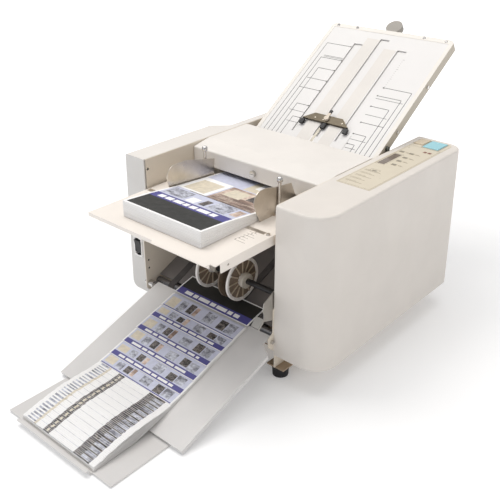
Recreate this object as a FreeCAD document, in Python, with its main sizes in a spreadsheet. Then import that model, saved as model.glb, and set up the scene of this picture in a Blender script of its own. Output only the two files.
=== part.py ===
import FreeCAD, Part
import Sketcher
import math
import os

# A desk paper folding machine with two fold plates, in millimetres.
# +X runs along the rollers to the side with the controls, +Y to the rear, +Z up.
# The origin is on the desk, under the middle of the two side covers.
# Local frames: the upper fold plate has x across, y up its slope and z off its face.

SIZES = (
    # alias, value, what it is
    ("gap_width", 351.0, "clear width between the two side plates"),
    ("left_width", 59.0, "left cover, with its plate"),
    ("right_width", 110.0, "right cover, with its plate"),
    ("half_depth", 256.0, "half of the covers' depth"),
    ("cover_low", 60.0, "underside of the covers above the desk"),
    ("cover_top", 384.0, "top of the covers above the desk"),
    ("wall", 3.0, "moulded wall"),
    ("sheet", 2.0, "sheet metal of the frame"),
    ("thin", 1.2, "thin sheet metal"),
    ("fit", 0.3, "clearance between pieces of different bodies"),
    ("run", 0.05, "radial running clearance of a shaft"),
    ("side_draft", 1.4, "outward draft of the covers' sides, in degrees"),
    ("front_corner", 50.0, "upright front corner of the right cover"),
    ("rear_corner", 34.0, "upright rear corner of the covers"),
    ("top_edge", 5.0, "rounding along the top of the covers"),
    ("low_edge", 16.0, "rounding under the covers' outer side"),
    ("left_step_front", -5.0, "y where the left cover starts to narrow"),
    ("left_step_rear", 30.0, "y where the left cover is narrow"),
    ("left_narrow", 21.0, "width of the left cover behind its step"),
    ("foot_top", 26.0, "top of the base rails"),
    ("rail_width", 43.0, "base rail"),
    ("rail_thick", 3.0, "base rail"),
    ("rail_end", 248.0, "y of the rails' ends"),
    ("foot_radius", 18.0, "rubber foot"),
    ("foot_inset", 18.0, "foot's centre from the rail's end"),
    ("stay_radius", 6.0, "round cross stay"),
    ("roller_radius", 20.0, "fold rollers"),
    ("gear_module", 1.3, "roller gears"),
    ("gear_teeth", 31.0, "roller gears"),
    ("idler_teeth", 32.0, "idler between the feed roller and the first fold roller"),
    ("gear_width", 9.0, "roller gears"),
    ("fold_tilt", 33.5, "slope of the upper fold plate"),
    ("exit_drop", 20.0, "slope of the sheet as it leaves the last pair"),
    ("lower_tilt", 50.0, "slope of the lower fold plate"),
    ("nip_y", 14.5, "first pair of fold rollers"),
    ("nip_z", 325.4, "first pair of fold rollers"),
    ("shaft_radius", 6.0, "roller shafts"),
    ("bearing_radius", 13.0, "roller bearings"),
    ("feed_rise", 9.3, "feed roller above the first fold roller"),
    ("feed_radius", 20.0, "feed roller"),
    ("feed_length", 90.0, "feed roller's rubber"),
    ("table_top", 321.0, "feed table"),
    ("table_front", -420.0, "front edge of the feed table"),
    ("table_rear", -70.0, "rear edge of the feed table"),
    ("table_side", 6.0, "feed table's side clearance to the plates"),
    ("table_flange", 20.0, "flange under the feed table's edges"),
    ("paper_width", 210.0, "sheet"),
    ("paper_length", 297.0, "sheet"),
    ("feed_centre", -22.0, "x of the middle of the feed stack"),
    ("stack_rear", -82.0, "leading edge of the feed stack"),
    ("stack_front_height", 34.0, "feed stack at its front"),
    ("stack_rear_height", 8.0, "feed stack at its leading edge"),
    ("fence_height", 64.0, "side guides above the table"),
    ("fence_thick", 1.5, "side guides"),
    ("fence_gap", 4.0, "between the stack and a side guide"),
    ("post_radius", 3.25, "lock posts of the side guides"),
    ("knob_radius", 6.5, "ball heads of the lock posts"),
    ("post_top", 387.0, "under the ball heads"),
    ("cap_front", -112.0, "front face of the top cover"),
    ("cap_rear", 64.0, "rear edge of the top cover"),
    ("cap_throat", 341.0, "lower edge of the top cover's front"),
    ("plate_centre", -23.0, "x of the middle of the upper fold plate"),
    ("plate_half", 167.0, "half width of the upper fold plate"),
    ("plate_length", 362.0, "upper fold plate, up its slope from the covers' top"),
    ("plate_foot", 28.0, "length of the plate below the covers' top"),
    ("plate_deep", 20.0, "depth of the plate's side rails"),
    ("plate_corner", 11.0, "rounded corners at the plate's top"),
    ("plate_y", 84.6, "where the plate's face passes the covers' top"),
    ("plate_z", 371.8, "where the plate's face passes the covers' top"),
    ("slot_width", 24.0, "slots for the feet of the paper stop"),
    ("slot_low", 20.0, "lower end of the slots"),
    ("slot_side_high", 307.0, "upper end of the outer slots"),
    ("slot_mid_high", 333.0, "upper end of the middle slot"),
    ("slot_pitch", 60.0, "spacing of the slots"),
    ("slot_middle", -23.5, "x of the middle slot"),
    ("stop_at", 58.0, "lower edge of the paper stop up the slope"),
    ("bed_front_y", -253.0, "lower end of the exit bed"),
    ("bed_front_z", 96.0, "lower end of the exit bed"),
    ("bed_tilt", 23.0, "slope of the exit bed"),
    ("bed_length", 268.0, "exit bed along its slope"),
    ("exit_wheel_radius", 47.0, "large exit wheels"),
    ("exit_y", -221.0, "exit wheel shaft"),
    ("exit_z", 176.0, "exit wheel shaft"),
    ("hinge_y", -262.0, "rod that carries the receiving tray"),
    ("hinge_z", 94.0, "rod that carries the receiving tray"),
    ("tray_tilt", 18.5, "slope of the receiving tray"),
    ("tray_front", -530.0, "front edge of the receiving tray"),
    ("tray_half", 176.0, "half width of the receiving tray"),
    ("tray_centre", -4.0, "x of the middle of the receiving tray"),
    ("extension_front", -664.0, "front of the tray extension"),
    ("extension_rear", -480.0, "rear of the tray extension"),
    ("extension_half", 150.0, "half width of the tray extension"),
    ("extension_centre", -12.0, "x of the middle of the extension"),
    ("lip_height", 12.0, "stop lip of the extension"),
    ("delivery_centre", -15.0, "x of the middle of the folded sheets"),
)

doc = FreeCAD.newDocument("folding_machine")
sheet_object = doc.addObject("Spreadsheet::Sheet", "sizes")
nodes = []


class Term:
    """A size: its value, and the spreadsheet expression that gives it."""

    def __init__(self, text, value):
        self.text = text
        self.value = float(value)

    def __add__(self, other):
        other = term(other)
        return Term("(%s + %s)" % (self.text, other.text), self.value + other.value)

    def __sub__(self, other):
        other = term(other)
        return Term("(%s - %s)" % (self.text, other.text), self.value - other.value)

    def __mul__(self, other):
        other = term(other)
        return Term("(%s * %s)" % (self.text, other.text), self.value * other.value)

    def __truediv__(self, other):
        other = term(other)
        return Term("(%s / %s)" % (self.text, other.text), self.value / other.value)

    def __neg__(self):
        return Term("(0 - %s)" % self.text, -self.value)

    def __rsub__(self, other):
        return term(other) - self

    __radd__ = __add__
    __rmul__ = __mul__


def term(size):
    return size if isinstance(size, Term) else Term("(%r)" % float(size), size)


def sine(angle):
    return Term("sin(%s)" % angle.text, math.sin(math.radians(angle.value)))


def cosine(angle):
    return Term("cos(%s)" % angle.text, math.cos(math.radians(angle.value)))


def root(square):
    return Term("sqrt(%s)" % square.text, math.sqrt(square.value))


class Sizes:
    """The spreadsheet's cells, as terms."""

    def __init__(self):
        for row, (alias, value, note) in enumerate(SIZES, 1):
            sheet_object.set("A%d" % row, str(value))
            sheet_object.setAlias("A%d" % row, alias)
            sheet_object.set("B%d" % row, note)
            setattr(self, alias, Term("sizes." + alias, value))
        doc.recompute()


v = Sizes()


def bind(obj, prop, size):
    """Set a property through an expression."""
    obj.setExpression(prop, term(size).text)


def place(obj, x=0, y=0, z=0, axis=(0, 0, 1), angle=0):
    """Put an object at x, y, z, turned by a positive angle about an axis."""
    spot = [term(size) for size in (x, y, z)]
    turn = term(angle)
    obj.Placement = FreeCAD.Placement(
        FreeCAD.Vector(*[size.value for size in spot]),
        FreeCAD.Rotation(FreeCAD.Vector(*axis), turn.value))
    for letter, size in zip("xyz", (x, y, z)):
        if isinstance(size, Term):
            obj.setExpression("Placement.Base." + letter, size.text)
    if isinstance(angle, Term):
        obj.setExpression("Placement.Rotation.Angle", angle.text)
    return obj


def box(x, y, z):
    """A block between two places along each axis."""
    obj = doc.addObject("Part::Box", "block")
    for prop, (low, high) in zip(("Length", "Width", "Height"), (x, y, z)):
        bind(obj, prop, term(high) - low)
    return place(obj, x[0], y[0], z[0])


# How to turn a cylinder's own z axis onto each axis.
TURNS = {"x": ((0, 1, 0), 90), "y": ((-1, 0, 0), 90), "z": ((0, 0, 1), 0)}


def rod(along, spot, radius, low, high):
    """A cylinder along x, y or z from low to high; spot is its place in the other two axes."""
    obj = doc.addObject("Part::Cylinder", "rod")
    bind(obj, "Radius", term(radius))
    bind(obj, "Height", term(high) - low)
    where = list(spot)
    where.insert("xyz".index(along), low)
    axis, angle = TURNS[along]
    return place(obj, *where, axis=axis, angle=angle)


def ball(x, y, z, radius):
    obj = doc.addObject("Part::Sphere", "ball")
    bind(obj, "Radius", term(radius))
    return place(obj, x, y, z)


def cone(along, spot, low_radius, high_radius, low, high):
    obj = doc.addObject("Part::Cone", "cone")
    bind(obj, "Radius1", term(low_radius))
    bind(obj, "Radius2", term(high_radius))
    bind(obj, "Height", term(high) - low)
    where = list(spot)
    where.insert("xyz".index(along), low)
    axis, angle = TURNS[along]
    return place(obj, *where, axis=axis, angle=angle)


def fuse(*pieces):
    obj = doc.addObject("Part::MultiFuse", "joined")
    obj.Shapes = list(pieces)
    obj.Refine = True
    return obj


def cut(base, *tools):
    obj = doc.addObject("Part::Cut", "cut")
    obj.Base = base
    obj.Tool = tools[0] if len(tools) == 1 else fuse(*tools)
    obj.Refine = True
    return obj


def group(*pieces):
    """Separate solids that share one node."""
    obj = doc.addObject("Part::Compound", "group")
    obj.Links = list(pieces)
    return obj


def tube(along, spot, radius, bore, low, high):
    return cut(rod(along, spot, radius, low, high), rod(along, spot, bore, term(low) - 1, term(high) + 1))


def node(label, obj):
    """Name a finished sub-part, which then becomes a file of that name."""
    obj.Label = label
    nodes.append(obj)
    return obj


def body():
    return doc.addObject("PartDesign::Body", "Body")


def sketch_on(owner, plane, offset):
    """An empty sketch on one of the body's own origin planes, moved along its normal."""
    sketch = owner.newObject("Sketcher::SketchObject", "Sketch")
    for feature in owner.Origin.OriginFeatures:
        if feature.Role == plane:
            sketch.AttachmentSupport = [(feature, "")]
    sketch.MapMode = "FlatFace"
    shift = term(offset)
    sketch.AttachmentOffset = FreeCAD.Placement(FreeCAD.Vector(0, 0, shift.value), FreeCAD.Rotation())
    if isinstance(offset, Term):
        sketch.setExpression("AttachmentOffset.Base.z", offset.text)
    return sketch


def pin_point(sketch, edge, end, spot):
    """Hold one point of a sketch at its two distances from the sketch's origin."""
    for kind, size in zip(("DistanceX", "DistanceY"), spot):
        size = term(size)
        number = sketch.addConstraint(Sketcher.Constraint(kind, edge, end, size.value))
        if not size.text.startswith("(") or "sizes." in size.text:
            sketch.setExpression("Constraints[%d]" % number, size.text)


def outline(sketch, points):
    """A closed outline of straight edges through points."""
    first = sketch.GeometryCount
    count = len(points)
    spots = [FreeCAD.Vector(term(a).value, term(b).value, 0) for a, b in points]
    for index in range(count):
        sketch.addGeometry(Part.LineSegment(spots[index], spots[(index + 1) % count]), False)
    for index in range(count):
        following = first + (index + 1) % count
        sketch.addConstraint(Sketcher.Constraint("Coincident", first + index, 2, following, 1))
    for index in range(count):
        pin_point(sketch, first + index, 1, points[index])


def circle(sketch, centre, radius):
    spot = FreeCAD.Vector(term(centre[0]).value, term(centre[1]).value, 0)
    edge = sketch.addGeometry(Part.Circle(spot, FreeCAD.Vector(0, 0, 1), term(radius).value), False)
    pin_point(sketch, edge, 3, centre)
    number = sketch.addConstraint(Sketcher.Constraint("Radius", edge, term(radius).value))
    if isinstance(radius, Term):
        sketch.setExpression("Constraints[%d]" % number, radius.text)


def pad(owner, plane, points, low, high):
    """Pad an outline on a plane from low to high along the plane's normal."""
    sketch = sketch_on(owner, plane, low)
    outline(sketch, points)
    feature = owner.newObject("PartDesign::Pad", "Pad")
    feature.Profile = sketch
    bind(feature, "Length", term(high) - low)
    return feature


def panel(plane, points, low, high):
    """A body that is one outline, padded."""
    owner = body()
    pad(owner, plane, points, low, high)
    return owner


def pocket(owner, plane, shapes, low, high):
    """Cut outlines, or circles as (u, v, radius), from low to high along the plane's normal."""
    sketch = sketch_on(owner, plane, low)
    for shape in shapes:
        if len(shape) == 3 and not isinstance(shape[0], tuple):
            circle(sketch, shape[:2], shape[2])
        else:
            outline(sketch, shape)
    feature = owner.newObject("PartDesign::Pocket", "Pocket")
    feature.Profile = sketch
    bind(feature, "Length", term(high) - low)
    feature.Reversed = True
    return feature


def lean(owner, angle, wanted, neutral):
    """Draft the faces that wanted(face) picks outwards below the level of the neutral height."""
    doc.recompute()
    base = owner.Tip
    faces = ["Face%d" % (index + 1) for index, face in enumerate(base.Shape.Faces) if wanted(face)]
    level = [index + 1 for index, face in enumerate(base.Shape.Faces)
             if abs(face.CenterOfMass.z - term(neutral).value) < 0.01]
    feature = owner.newObject("PartDesign::Draft", "Draft")
    feature.Base = (base, faces)
    feature.NeutralPlane = (base, ["Face%d" % level[0]])
    bind(feature, "Angle", angle)
    return feature


def round_edges(owner, radius, wanted):
    """Fillet the edges of a body that wanted(edge) picks."""
    doc.recompute()
    base = owner.Tip
    names = ["Edge%d" % (index + 1) for index, edge in enumerate(base.Shape.Edges) if wanted(edge)]
    feature = owner.newObject("PartDesign::Fillet", "Fillet")
    feature.Base = (base, names)
    bind(feature, "Radius", term(radius))
    return feature


def near(edge, x=None, y=None, z=None, within=1.5):
    """Whether the middle of an edge lies at the given places."""
    middle = edge.valueAt((edge.FirstParameter + edge.LastParameter) / 2)
    for place_of, wanted in zip((middle.x, middle.y, middle.z), (x, y, z)):
        if wanted is not None and abs(place_of - term(wanted).value) > within:
            return False
    return True


# Places that several pieces share.
total = v.left_width + v.gap_width + v.right_width
left_out = -total / 2
gap_left = left_out + v.left_width
gap_right = gap_left + v.gap_width
right_out = total / 2
plate_left = gap_left - v.sheet
plate_right = gap_right + v.sheet
stay_spots = ((-232.0, 76.0), (150.0, 80.0), (236.0, 330.0))

# Fold rollers: the first pair stands square to the upper plate's slope.
pitch_radius = v.gear_module * v.gear_teeth / 2
roller_b = (v.nip_y + pitch_radius * sine(v.fold_tilt), v.nip_z - pitch_radius * cosine(v.fold_tilt))
roller_a = (v.nip_y - pitch_radius * sine(v.fold_tilt), v.nip_z + pitch_radius * cosine(v.fold_tilt))
roller_c = (roller_b[0] + 2 * pitch_radius * sine(v.lower_tilt),
            roller_b[1] + 2 * pitch_radius * cosine(v.lower_tilt))
roller_d = (roller_b[0] + 2 * pitch_radius * sine(v.exit_drop),
            roller_b[1] - 2 * pitch_radius * cosine(v.exit_drop))
rollers = (roller_a, roller_b, roller_c, roller_d)
idler_radius = v.gear_module * v.idler_teeth / 2
feed_reach = 2 * pitch_radius + 2 * idler_radius
feed_y = roller_a[0] - root(feed_reach * feed_reach - v.feed_rise * v.feed_rise)
feed_z = roller_a[1] + v.feed_rise
idler = ((feed_y + roller_a[0]) / 2, (feed_z + roller_a[1]) / 2)
plate_top = v.cover_top - 0.5

inlet_x = gap_left - 11.5


def rectangle(x, y):
    return ((x[0], y[0]), (x[1], y[0]), (x[1], y[1]), (x[0], y[1]))


def on_bed(along, off):
    """A place in the exit bed's frame: along its slope, and off its face."""
    return (v.bed_front_y + along * cosine(v.bed_tilt) - off * sine(v.bed_tilt),
            v.bed_front_z + along * sine(v.bed_tilt) + off * cosine(v.bed_tilt))


# Conveyor rollers at both ends of the bed, whose belts run just over its face.
conveyor_radius = 8.4
conveyor_shaft = 4.0
belt_sheet = 1.0
conveyor_off = belt_sheet + v.fit - conveyor_radius - v.fit - belt_sheet
conveyor_low = on_bed(12.0, conveyor_off)
conveyor_high = on_bed(v.bed_length - 12, conveyor_off)
panel_rear = v.half_depth - 14
start_spot = ((right_out - 67, right_out - 30), (panel_rear - 50, panel_rear - 6))
stop_spot = ((right_out - 94, right_out - 71), (panel_rear - 40, panel_rear - 6))
display_spot = ((right_out - 90, right_out - 74), (panel_rear - 194, panel_rear - 124))
plate_ends = v.half_depth - 4


def frame_plate(label, low, high, nose, nose_holes):
    """A side plate, with a nose at the front that carries the tray's rod."""
    corners = rectangle((-plate_ends, plate_ends), (v.foot_top, plate_top))
    owner = panel("YZ_Plane", corners + nose, low, high)
    bores = [(y, z, v.bearing_radius + v.run) for y, z in rollers]
    bores.append((feed_y, feed_z, v.bearing_radius + v.run))
    bores.append((v.exit_y, v.exit_z, v.shaft_radius + v.run))
    bores.append((v.hinge_y, v.hinge_z, 4.0 + v.run))
    bores += [(y, z, conveyor_shaft + v.run) for y, z in (conveyor_low, conveyor_high)]
    bores += [(-247.0, 361.0, 3.0), (-243.0, 197.0, 3.5)]
    bores += nose_holes
    pocket(owner, "YZ_Plane", bores, low - 1, high + 1)
    node(label, owner)


def frame():
    nose = -plate_ends - 20
    tall_nose = ((-plate_ends, 215.0), (nose, 200.0), (nose, 84.0), (-plate_ends, 66.0))
    low_nose = ((-plate_ends, 170.0), (nose + 14, 165.0), (nose + 14, 112.0), (nose, 104.0),
                (nose, 84.0), (-plate_ends, 66.0))
    nose_holes = [(-262.0, 151.5, 2.5), (-262.0, 132.0, 2.5)]
    frame_plate("left_frame_plate", plate_left, gap_left, tall_nose, nose_holes)
    frame_plate("right_frame_plate", gap_right, plate_right, low_nose, [])
    rails = []
    for inner in (gap_left + 21, gap_right + 22):
        span = (inner - v.rail_width, inner)
        rails.append(box(span, (-v.rail_end, v.rail_end), (v.foot_top - v.rail_thick, v.foot_top)))
    pan = box((gap_left, gap_right), (-200.0, v.rail_end - 6), (v.foot_top, v.foot_top + v.sheet))
    node("base_rails_and_pan", group(pan, *rails))
    stays = []
    screws = []
    for y, z in stay_spots:
        stays.append(rod("x", (y, z), v.stay_radius, gap_left, gap_right))
        screws.append(rod("x", (y, z), 5.0, plate_left - 4, plate_left))
        screws.append(rod("x", (y, z), 5.0, plate_right, plate_right + 4))
    node("cross_stays", group(*stays, *screws))
    feet = []
    for inner in (gap_left + 21, gap_right + 22):
        for y in (-v.rail_end + v.foot_inset, v.rail_end - v.foot_inset):
            x = inner - v.rail_width / 2
            feet.append(cone("z", (x, y), v.foot_radius - 1.5, v.foot_radius, 0, v.foot_top - v.rail_thick))
    node("rubber_feet", group(*feet))


cover_spread = (v.cover_top - v.cover_low) * sine(v.side_draft) / cosine(v.side_draft)


def left_cover():
    """Full width in front of its step, narrow behind it."""
    def plan(shift, beyond):
        step = 0.44 * shift
        inner = plate_left - 0.05 + beyond
        narrow = gap_left - v.left_narrow
        return [(left_out + shift, -v.half_depth + shift), (inner, -v.half_depth + shift),
                (inner, v.half_depth - shift), (narrow + shift, v.half_depth - shift),
                (narrow + shift, v.left_step_rear - step), (left_out + shift, v.left_step_front - step)]
    owner = body()
    pad(owner, "XY_Plane", plan(0, 0), v.cover_low, v.cover_top)
    lean(owner, v.side_draft, lambda f: f.normalAt(0, 0).x < -0.5, v.cover_top)
    out = left_out.value
    low = (left_out - cover_spread).value
    round_edges(owner, v.low_edge, lambda e: near(e, x=low, z=v.cover_low, within=1))
    round_edges(owner, v.top_edge, lambda e: near(e, x=out, z=v.cover_top, within=2))
    pocket(owner, "XY_Plane", [plan(v.wall, 1)], v.cover_low + v.wall, v.cover_top - v.wall)
    pocket(owner, "XZ_Plane", [rectangle((left_out + 8.5, left_out + 31.5), (148.0, 192.0))],
           v.half_depth - v.wall - 1, v.half_depth + 1)
    pocket(owner, "XZ_Plane", [rectangle((inlet_x - 6.3, inlet_x + 6.3), (90.7, 119.3))],
           -v.half_depth - 1, -v.half_depth + v.wall + 1)
    node("left_cover", owner)


def right_cover():
    """Large upright corners, with wells for the panel's two keys."""
    def plan(shift, beyond):
        inner = plate_right + 0.05 - beyond
        return [(inner, -v.half_depth + shift), (right_out - shift, -v.half_depth + shift),
                (right_out - shift, v.half_depth - shift), (inner, v.half_depth - shift)]
    owner = body()
    pad(owner, "XY_Plane", plan(0, 0), v.cover_low, v.cover_top)
    lean(owner, v.side_draft, lambda f: f.normalAt(0, 0).x > 0.5, v.cover_top)
    out = right_out.value
    round_edges(owner, v.front_corner, lambda e: near(e, x=out + 4, y=-v.half_depth, within=4))
    round_edges(owner, v.rear_corner, lambda e: near(e, x=out + 4, y=v.half_depth, within=4))
    round_edges(owner, v.top_edge, lambda e: near(e, x=out, y=0, z=v.cover_top, within=15))
    hollow = panel("XY_Plane", plan(v.wall, 1), v.cover_low + v.wall, v.cover_top - v.wall)
    inner = out - v.wall.value
    deep = v.half_depth - v.wall
    round_edges(hollow, v.front_corner - v.wall, lambda e: near(e, x=inner, y=-deep, within=1))
    round_edges(hollow, v.rear_corner - v.wall, lambda e: near(e, x=inner, y=deep, within=1))
    wells = []
    for x, y in (start_spot, stop_spot):
        wells.append(box((x[0] - v.fit, x[1] + v.fit), (y[0] - v.fit, y[1] + v.fit),
                         (v.cover_top - v.wall - 1, v.cover_top + 1)))
    node("right_cover", cut(owner, hollow, *wells))


# The feed table and what stands on it.
table_left = gap_left + v.table_side
table_right = gap_right - v.table_side + 1
left_fence_x = v.feed_centre - v.paper_width / 2 - v.fence_gap - v.fence_thick
right_fence_x = v.feed_centre + v.paper_width / 2 + v.fence_gap
left_post = (left_fence_x - 4, -142.0)
right_post = (right_fence_x + 4 + v.fence_thick, -172.0)
table_low = v.table_top - v.sheet
cap_hinge = (v.cap_rear - 5, v.cover_top - 5)
hinge_pin = 3.0

# Stations along the drive side, outwards from the right plate.
gear_from = plate_right + 6
gear_to = gear_from + v.gear_width
pulley_from = plate_right + 52
pulley_to = pulley_from + 12
left_end = plate_left - 6
motor_spot = (60.0, 150.0)
main_pulley_radius = 30.0
motor_pulley_radius = 10.0
belt_thick = 2.0


def gear_shape(teeth, bore, phase):
    """An involute spur gear about the x axis, a tooth at the angle phase from +Y towards +Z."""
    module = v.gear_module.value
    pitch = module * teeth / 2
    base = pitch * math.cos(math.radians(20))
    tip = pitch + 0.9 * module
    foot = pitch - 1.2 * module
    backlash = 0.12
    half_tooth = math.pi / (2 * teeth) - backlash / (2 * pitch)
    lead = math.tan(math.radians(20)) - math.radians(20)
    flank = []
    for step in range(5):
        radius = base + (tip - base) * step / 4
        spread = math.sqrt(max(0.0, (radius / base) ** 2 - 1))
        flank.append((radius, half_tooth + lead - (spread - math.atan(spread))))
    flank = [(foot, flank[0][1] + 0.004)] + flank
    points = []
    for number in range(teeth):
        centre = phase + 2 * math.pi * number / teeth
        side = [(radius, centre - angle) for radius, angle in flank]
        other = [(radius, centre + angle) for radius, angle in reversed(flank)]
        points += side + other
    low = gear_from.value
    ring = [FreeCAD.Vector(low, r * math.cos(a), r * math.sin(a)) for r, a in points]
    face = Part.Face(Part.makePolygon(ring + ring[:1]))
    solid = face.extrude(FreeCAD.Vector(v.gear_width.value, 0, 0))
    start = FreeCAD.Vector(low - 1, 0, 0)
    hole = Part.makeCylinder(bore, v.gear_width.value + 2, start, FreeCAD.Vector(1, 0, 0))
    return solid.cut(hole)


def gear(spot, teeth, bore, phase):
    obj = doc.addObject("Part::Feature", "gear")
    obj.Shape = gear_shape(int(round(teeth.value)), bore.value, phase)
    return place(obj, 0, spot[0], spot[1])


def meshed(phase, teeth, spot, other_teeth, other_spot):
    """The phase that puts a gap of the other gear over a tooth of this one."""
    line = math.atan2((other_spot[1] - spot[1]).value, (other_spot[0] - spot[0]).value)
    count = int(round(teeth.value))
    other_count = int(round(other_teeth.value))
    turn = count * (line - phase) / (2 * math.pi)
    return line + math.pi - 2 * math.pi / other_count * (0.5 - turn)


def gears():
    """Each roller's gear, and the idler with its stud; the second roller's gear drives the rest."""
    phase_b = math.radians(v.fold_tilt.value)
    bore = v.shaft_radius + v.run
    made = {"b": gear(roller_b, v.gear_teeth, bore, phase_b)}
    phases = {}
    for letter, spot in (("a", roller_a), ("c", roller_c), ("d", roller_d)):
        phases[letter] = meshed(phase_b, v.gear_teeth, roller_b, v.gear_teeth, spot)
        made[letter] = gear(spot, v.gear_teeth, bore, phases[letter])
    idler_phase = meshed(phases["a"], v.gear_teeth, roller_a, v.idler_teeth, idler)
    node("idler_gear", gear(idler, v.idler_teeth, 4 + v.run, idler_phase))
    feed_phase = meshed(idler_phase, v.idler_teeth, idler, v.gear_teeth, (feed_y, feed_z))
    made["feed"] = gear((feed_y, feed_z), v.gear_teeth, bore, feed_phase)
    stud = rod("x", idler, 4.0, plate_right, gear_to + 1 + v.fit)
    washer = rod("x", idler, 7.0, gear_to + v.fit, gear_to + 2)
    spacer = rod("x", idler, 7.0, plate_right, gear_from - v.fit)
    studs = [fuse(stud, washer, spacer)]
    for y in (-230.0, -100.0):
        studs.append(rod("x", (y, v.table_top - 10), 4.0, gap_left, table_left))
        studs.append(rod("x", (y, v.table_top - 10), 4.0, table_right, gap_right))
    studs.append(rod("x", cap_hinge, hinge_pin, gap_left, gap_right))
    node("frame_studs", group(*studs))
    return made


def fold_rollers(made):
    for letter, spot in zip("abcd", rollers):
        far = pulley_to + 2 if letter == "b" else gear_to + 2
        shaft = rod("x", spot, v.shaft_radius, left_end, far)
        face = rod("x", spot, v.roller_radius, gap_left + 4, gap_right - 4)
        pieces = [fuse(shaft, face), made[letter]]
        if letter == "b":
            pieces.append(disc_pulley(spot, main_pulley_radius, pulley_from, pulley_to, v.shaft_radius))
        node("fold_roller_" + letter, group(*pieces))


def bearings():
    """Flanged bearings of all the roller shafts, in both plates."""
    pieces = []
    for spot in rollers + ((feed_y, feed_z),):
        bore = v.shaft_radius + v.run
        for low, high in ((plate_left - 3, gap_left + 2), (gap_right - 2, plate_right + 3)):
            pieces.append(tube("x", spot, v.bearing_radius, bore, low, high))
    node("roller_bearings", group(*pieces))


def feed(made):
    shaft = rod("x", (feed_y, feed_z), v.shaft_radius, left_end, gear_to + 2)
    node("feed_shaft", group(shaft, made["feed"]))
    low = v.feed_centre - v.feed_length / 2
    high = v.feed_centre + v.feed_length / 2
    node("feed_roller", tube("x", (feed_y, feed_z), v.feed_radius, v.shaft_radius, low, high))
    pad_top = v.table_top - 1
    wide = (v.feed_centre - 25, v.feed_centre + 25)
    long = (v.table_rear + 2, v.table_rear + 26)
    rubber = box(wide, long, (pad_top - 3, pad_top))
    arm = box(wide, long, (pad_top - 5, pad_top - 3))
    foot = box((v.feed_centre - 6, v.feed_centre + 6), (v.table_rear + 10, v.table_rear + 18),
               (pad_top - 30, pad_top - 5))
    cross = rod("x", (v.table_rear + 14, pad_top - 32), 5.0, gap_left, gap_right)
    node("separator_pad", group(rubber, fuse(arm, foot, cross)))


def disc_pulley(spot, radius, low, high, bore):
    groove = rod("x", spot, radius, term(low) + 1, term(high) - 1)
    rims = [rod("x", spot, radius + belt_thick + 1, low, term(low) + 1),
            rod("x", spot, radius + belt_thick + 1, term(high) - 1, high)]
    return cut(fuse(groove, *rims), rod("x", spot, bore, term(low) - 1, term(high) + 1))


def loop(first, first_radius, second, second_radius, low, high):
    """The solid inside a belt that is tight around two wheels."""
    ends = [FreeCAD.Vector(low, first[0], first[1]), FreeCAD.Vector(low, second[0], second[1])]
    along = ends[1] - ends[0]
    lean_of = math.acos((first_radius - second_radius) / along.Length)
    heading = math.atan2(along.z, along.y)
    corners = []
    for sign in (1, -1):
        angle = heading + sign * lean_of
        way = FreeCAD.Vector(0, math.cos(angle), math.sin(angle))
        pair = [ends[0] + way * first_radius, ends[1] + way * second_radius]
        corners += pair if sign == 1 else pair[::-1]
    thick = FreeCAD.Vector(high - low, 0, 0)
    quad = Part.Face(Part.makePolygon(corners + corners[:1])).extrude(thick)
    axis = FreeCAD.Vector(1, 0, 0)
    wheels = [Part.makeCylinder(first_radius, high - low, ends[0], axis),
              Part.makeCylinder(second_radius, high - low, ends[1], axis)]
    return quad.multiFuse(wheels).removeSplitter()


def belt(first, first_radius, second, second_radius, low, high, thick):
    """A flat belt around two wheels, clear of both."""
    spots = [[term(size).value for size in spot] for spot in (first, second)]
    low = term(low).value
    high = term(high).value
    inner = [term(radius).value + v.fit.value for radius in (first_radius, second_radius)]
    outside = loop(spots[0], inner[0] + thick, spots[1], inner[1] + thick, low, high)
    inside = loop(spots[0], inner[0], spots[1], inner[1], low - 1, high + 1)
    return outside.cut(inside)


def drive():
    axle = rod("x", motor_spot, 4.0, plate_right + 21, pulley_to + 1)
    pulley = disc_pulley(motor_spot, motor_pulley_radius, pulley_from, pulley_to, 4.0)
    node("motor_pulley", group(axle, pulley))
    loops = [belt(roller_b, main_pulley_radius, motor_spot, motor_pulley_radius,
                  pulley_from + 2.5, pulley_to - 2.5, belt_thick - v.fit.value)]
    for x in (-150.0, -75.0, 25.0, 100.0):
        loops.append(belt(conveyor_low, conveyor_radius, conveyor_high, conveyor_radius,
                          x - 8, x + 8, belt_sheet))
    belts = doc.addObject("Part::Feature", "belts")
    belts.Shape = Part.makeCompound(loops)
    node("belts", belts)
    can = rod("x", motor_spot, 34.0, plate_right, pulley_from - 6)
    nose = rod("x", motor_spot, 12.0, pulley_from - 6, pulley_from - 3)
    bore = rod("x", motor_spot, 4 + v.run, plate_right + 20, pulley_from)
    node("motor", cut(fuse(can, nose), bore))



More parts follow.
